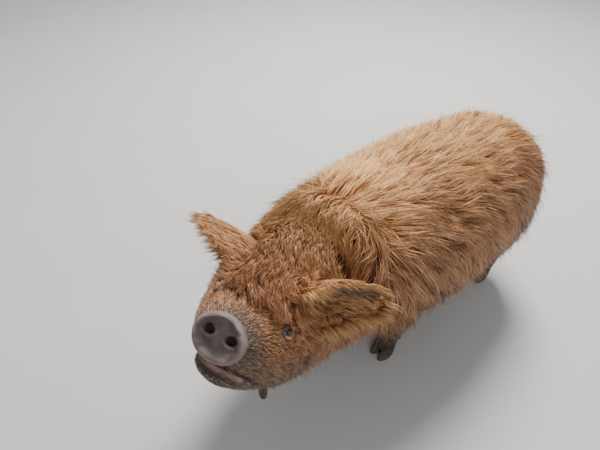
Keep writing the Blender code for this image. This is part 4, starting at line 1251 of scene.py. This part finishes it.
def cut_eyes(skin):
    """Opens the lids: a socket for each eyeball and a slit in front of it."""
    cutters = bpy.data.collections.new("eye_cutters")
    bpy.context.scene.collection.children.link(cutters)
    for side in (1, -1):
        centre, outward = eye_place(side)
        turn = turned_to(outward, HEAD_FORWARD).to_4x4()
        for middle, radii in (
            (centre, (EYE_RADIUS + 0.0003,) * 3),
            (centre + outward * EYE_RADIUS, (*LID_SLIT, EYE_RADIUS)),
        ):
            bpy.ops.mesh.primitive_uv_sphere_add(segments=32, ring_count=20, radius=1)
            made = bpy.context.object
            for held in list(made.users_collection):
                held.objects.unlink(made)
            cutters.objects.link(made)
            made.data.transform(Matrix.Translation(middle + PLACE) @ turn @ Matrix.Diagonal((*radii, 1)))
    cut = skin.modifiers.new("eyes", "BOOLEAN")
    cut.operation = "DIFFERENCE"
    cut.operand_type = "COLLECTION"
    cut.collection = cutters
    cut.solver = "MANIFOLD"
    applied(skin)
    for made in list(cutters.objects):
        bpy.data.objects.remove(made)
    bpy.data.collections.remove(cutters)


def finish_skin(skin, ground, look):
    points = own_points(skin.data)
    marks = markings(points)
    near_eye = from_eyes(points)
    mouth, lip = ground.mouth(points)
    bare = np.maximum(smooth_steps(0.022, 0.014, near_eye), lip)
    # Painted shade: dark round the sunk eyes and in the mouth's crease.
    dark = np.maximum(smooth_steps(0.0185, 0.0140, near_eye) * 0.85, mouth)
    cups = []
    for side in EARS:
        root, length_way, facing = ear_frame(side)[:3]
        middle = np.array(root + length_way * 0.07 + facing * 0.012)
        cups.append(np.linalg.norm(points - middle, axis=1))
    # Painted shade in the ear cups too.
    dark = np.maximum(dark, 0.55 * smooth_steps(0.05, 0.03, np.min(cups, axis=0)))
    write_values(skin.data, bare=bare, dark=dark, **marks)
    skin.data.materials.clear()
    skin.data.materials.append(look)
    skin.data.shade_smooth()
    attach(skin, "root")
    fleshy = ["head", "neck", "torso", "tail", "tassel_left", "tassel_right", "ear_left", "ear_right"]
    fleshy += ["leg_" + name for name in LEGS]
    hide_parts(*fleshy)


def disc_look():
    look = Look("snout_disc")
    broad = look.noise(0.018, 3.0)
    fine = look.noise(0.0016, 4.0, 0.7)
    # The disc's tones are partly its own grey-taupe and partly painted shade, darker all over.
    colour = look.ramp(broad, (
        (0.25, srgb(78, 67, 64)), (0.50, srgb(104, 91, 87)), (0.80, srgb(134, 119, 112)),
    ))
    colour = look.mix(look.math("MULTIPLY", fine, 0.45), colour, srgb(56, 47, 45))
    colour = look.mix(look.math("MULTIPLY", look.value("rim"), 0.5), colour, srgb(172, 150, 142))
    # Painted shade inside the nostrils.
    colour = look.mix(look.value("dark"), colour, srgb(26, 18, 17))
    look.set("Base Color", colour)
    look.set("Roughness", look.math("MULTIPLY_ADD", fine, 0.25, 0.40))
    look.bump(look.math("MULTIPLY_ADD", broad, 0.8, fine), 0.0011, 0.8)
    return look.material


def disc_profile(rings):
    """Radius, as a share of the disc's, and height at each ring from the back's edge to the middle."""
    rows = []
    for k in range(rings):
        s = k / (rings - 1)
        if s < DISC_BACK:
            rows.append((mix(0.88, 0.965, s / DISC_BACK), mix(-0.004, 0.0, s / DISC_BACK)))
        elif s < DISC_BACK + DISC_ROLL:
            bend = math.pi * (s - DISC_BACK) / DISC_ROLL
            rows.append((DISC_FLAT + 0.05 * math.sin(bend), DISC_THICK * 0.5 * (1 - math.cos(bend))))
        else:
            radius = DISC_FLAT * (1 - s) / DISC_FACE
            roll = 0.0022 * math.exp(-(((radius - 0.84) / 0.10) ** 2))
            dish = -0.0024 * smoothstep(0.80, 0.55, radius) + 0.0012 * math.exp(-((radius / 0.22) ** 2))
            rows.append((radius, DISC_THICK + roll + dish))
    return rows


def nostril_at(x, z):
    """How far the disc's face is sunk or raised by the nostrils, and how deep in one a point is, for the
    painted shade inside the nostrils.
    """
    rise, shade = 0.0, 0.0
    for side in (1, -1):
        away = math.hypot((x - side * NOSTRIL_APART) / 1.15, z - NOSTRIL_UP - 0.10 * abs(x))
        rise += 0.0015 * math.exp(-(((away - 1.9 * NOSTRIL_RADIUS) / 0.0028) ** 2))
        rise -= NOSTRIL_DEPTH * (1 - smoothstep(0.85 * NOSTRIL_RADIUS, 1.45 * NOSTRIL_RADIUS, away))
        shade = max(shade, 1 - smoothstep(0.80 * NOSTRIL_RADIUS, 1.35 * NOSTRIL_RADIUS, away))
    return rise, shade


def make_disc(look):
    """The bare disc: a thick rolled rim, a lightly dished face and two nostrils with raised edges."""
    centre, turn = spine_frame(SNOUT_AT)
    forward, up, left = (turn @ Vector(v) for v in ((0, -1, 0), (0, 0, 1), (1, 0, 0)))
    level, half_width, rise, drop = stations_at(BODY_STATIONS, SNOUT_AT)
    middle = centre + up * (level + (rise - drop) / 2)
    wide, high = half_width + MUZZLE_COAT + DISC_RIM, (rise + drop) / 2 + MUZZLE_COAT + DISC_RIM
    rings, dark, rim = [], [], []
    for radius, depth in disc_profile(DISC_RINGS)[:-1]:
        ring = []
        for a in angles(DISC_AROUND):
            top = math.cos(a)
            wave = 1 + 0.012 * math.cos(2 * a + 0.4) + 0.008 * math.cos(5 * a) + 0.020 * max(top, 0) ** 6
            x, z = wide * wave * radius * math.sin(a), high * wave * radius * top
            out, shade = depth, 0.0
            if depth > DISC_THICK * 0.7 and radius < 0.93:
                sunk, shade = nostril_at(x, z)
                folds = 0.0005 * math.sin(190 * x + 3 * math.sin(160 * z)) * smoothstep(0.3, 0.8, radius)
                out += sunk + folds
            ring.append(middle + forward * (GAP_TO_DISC + out) + left * x + up * z)
            dark.append(shade)
            rim.append(math.exp(-(((radius - 0.93) / 0.08) ** 2)))
        rings.append(ring)
    mesh = plain_mesh("snout_pad", *tube_shape(rings))
    write_values(mesh, dark=np.array(dark + [0.0, 0.0]), rim=np.array(rim + [0.0, 0.0]))
    disc = put("snout_pad", mesh, look)
    tidy_normals(disc)
    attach(disc, "root")
    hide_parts("snout_disc")


def tidy_normals(made):
    shape = bmesh.new()
    shape.from_mesh(made.data)
    bmesh.ops.recalc_face_normals(shape, faces=shape.faces)
    shape.to_mesh(made.data)
    shape.free()


def eye_look():
    look = Look("pig_eye")
    height = look.node("ShaderNodeSeparateXYZ", {0: look.place()}).outputs[2]
    facing = look.math("DIVIDE", height, EYE_RADIUS)
    colour = look.ramp(facing, (
        (0.55, srgb(84, 66, 56)), (0.68, srgb(38, 22, 14)), (0.86, srgb(62, 36, 20)),
        (0.925, srgb(26, 15, 10)), (0.94, srgb(4, 3, 3)),
    ))
    look.set("Base Color", colour)
    look.set("Roughness", 0.08)
    look.set("Coat Weight", 1.0)
    look.set("Coat Roughness", 0.03)
    return look.material


def make_eyes(look):
    for name, side in SIDES:
        centre, outward = eye_place(side)
        bpy.ops.mesh.primitive_uv_sphere_add(segments=48, ring_count=32, radius=EYE_RADIUS)
        eye = bpy.context.object
        eye.name = eye.data.name = "eyeball_" + name
        eye.matrix_world = Matrix.Translation(centre + PLACE) @ turned_to(outward, HEAD_FORWARD).to_4x4()
        eye.data.materials.append(look)
        eye.data.shade_smooth()
        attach(eye, "root")
        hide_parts("eye_" + name)


def hoof_look():
    look = Look("hoof_horn")
    rings = look.noise(0.006, 3.0, 0.6, (0.25, 0.25, 2.2))
    grain = look.noise(0.0015, 3.0, 0.6, (2.0, 2.0, 0.2))
    colour = look.ramp(rings, ((0.25, srgb(48, 40, 36)), (0.6, srgb(84, 70, 60)), (0.85, srgb(116, 98, 82))))
    colour = look.mix(look.math("MULTIPLY", grain, 0.4), colour, srgb(60, 48, 40))
    mud = look.math("MULTIPLY", look.noise(0.02, 4.0), look.value("low"), clamp=True)
    look.set("Base Color", look.mix(mud, colour, srgb(104, 88, 74)))
    look.set("Roughness", look.math("ADD", look.math("MULTIPLY", grain, 0.2), 0.45))
    look.bump(rings, 0.0012, 0.8)
    return look.material


def hoof_shape(middle, turn, low, high, height, lean, count=28, rows=12):
    """A toe's horn: flat below, bulging above the sole, narrower and pointed in front."""
    rings = []
    for k in range(rows):
        t = k / (rows - 1)
        level = -height / 2 + height * t
        wide = mix(low[0], high[0], t) * (1 + 0.05 * math.sin(math.pi * t))
        if k == 0:
            wide *= 0.95
        long = mix(low[1], high[1], t) * (0.965 if k == 0 else 1.0)
        ring = []
        for a in angles(count):
            front = max(-math.cos(a), 0)
            x = wide * math.sin(a) * (1 - 0.22 * front**2)
            y = long * math.cos(a) + lean * t
            ring.append(middle + turn @ Vector((x, y, level)))
        rings.append(ring)
    return tube_shape(rings)


def make_hooves(look):
    for end, stations, back in (("front", FRONT_LEG, FRONT_LEG_BACK), ("hind", HIND_LEG, HIND_LEG_BACK)):
        for name, side in SIDES:
            along, apart = stations[-1][1:3]
            middle = Vector((side * apart, along, 0))
            shapes, nodes = [], []
            for part, way in (("inner", -side), ("outer", side)):
                sole = middle + Vector((way * TOE_APART, -TOE_AHEAD, TOE_HEIGHT / 2))
                toe = (TOE_SOLE, TOE_CROWN, TOE_HEIGHT, TOE_SLOPE)
                shapes.append(hoof_shape(sole, Matrix.Identity(3), *toe))
                hold = middle + Vector((way * DEWCLAW_APART, back, DEWCLAW_HEIGHT))
                slope = turned_to(Vector((-way * 0.15, -0.55, 0.82)), Vector((1, 0, 0)))
                shapes.append(hoof_shape(hold, slope, DEWCLAW_TIP, DEWCLAW_ROOT, DEWCLAW_LENGTH, 0.0, 16, 7))
                nodes += [f"toe_{end}_{name}_{part}", f"dewclaw_{end}_{name}_{part}"]
            points, faces = joined(shapes)
            mesh = plain_mesh(f"hooves_{end}_{name}", points, faces)
            low = [1 - smoothstep(0.0, 0.030, p.z) for p in points]
            write_values(mesh, low=np.array(low) * 1.3)
            hooves = put(mesh.name, mesh, look)
            tidy_normals(hooves)
            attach(hooves, "root")
            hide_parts(*nodes)


# Floor, light and camera

CAMERA_AT = Vector((0.478, -0.643, 1.037))
CAMERA_AZIMUTH = math.radians(51.9)
CAMERA_PITCH = math.radians(43.0)
CAMERA_ROLL = math.radians(0.4)
FOCAL_SHARE = 445 / 600
FLOOR_SIZE = 16
FLOOR_LEVEL = -0.0005
STUDIO_COLOUR = (0.97, 0.98, 1.0)
STUDIO_STRENGTH = 0.38


def make_camera():
    a, p, r = CAMERA_AZIMUTH, CAMERA_PITCH, CAMERA_ROLL
    look = Vector((-math.sin(a) * math.cos(p), math.cos(a) * math.cos(p), -math.sin(p)))
    right = Vector((math.cos(a), math.sin(a), 0))
    up = right.cross(look)
    right, up = right * math.cos(r) + up * math.sin(r), up * math.cos(r) - right * math.sin(r)
    data = bpy.data.cameras.new("camera")
    data.sensor_fit = "HORIZONTAL"
    data.lens = FOCAL_SHARE * data.sensor_width
    data.clip_end = 50
    camera = bpy.data.objects.new("camera", data)
    bpy.context.scene.collection.objects.link(camera)
    turn = Matrix((right, up, -look)).transposed().to_4x4()
    camera.matrix_world = Matrix.Translation(CAMERA_AT + PLACE) @ turn
    bpy.context.scene.camera = camera


def make_light(name, at, size, power, colour):
    data = bpy.data.lights.new(name, "AREA")
    data.shape = "DISK"
    data.size = size
    data.energy = power
    data.color = colour
    light = bpy.data.objects.new(name, data)
    bpy.context.scene.collection.objects.link(light)
    aim = Vector((0, 0, 0.25)) - Vector(at)
    light.matrix_world = Matrix.Translation(Vector(at)) @ aim.to_track_quat("-Z", "Y").to_matrix().to_4x4()


def make_stage():
    look = Look("floor")
    look.set("Base Color", look.mix(look.noise(0.4, 2.0), (0.60, 0.60, 0.59), (0.66, 0.66, 0.65)))
    look.set("Roughness", 0.9)
    bpy.ops.mesh.primitive_plane_add(size=FLOOR_SIZE, location=(0, 0, FLOOR_LEVEL))
    floor = bpy.context.object
    floor.name = "floor"
    floor.data.materials.append(look.material)
    world = bpy.data.worlds.new("studio")
    bpy.context.scene.world = world
    world.use_nodes = True
    background = world.node_tree.nodes["Background"]
    background.inputs["Color"].default_value = (*STUDIO_COLOUR, 1)
    background.inputs["Strength"].default_value = STUDIO_STRENGTH
    make_light("sky", (-1.2, 1.4, 3.1), size=1.3, power=215, colour=(1.0, 0.97, 0.93))
    make_light("side", (2.6, -1.6, 2.2), size=2.5, power=24, colour=STUDIO_COLOUR)


shapes = skin_shapes()
skin = make_skin(shapes)
ground = Ground(skin.data, shapes)
grow_coat(ground)
cut_eyes(skin)
finish_skin(skin, ground, skin_look())
make_eyes(eye_look())
make_disc(disc_look())
make_hooves(hoof_look())
make_stage()
make_camera()
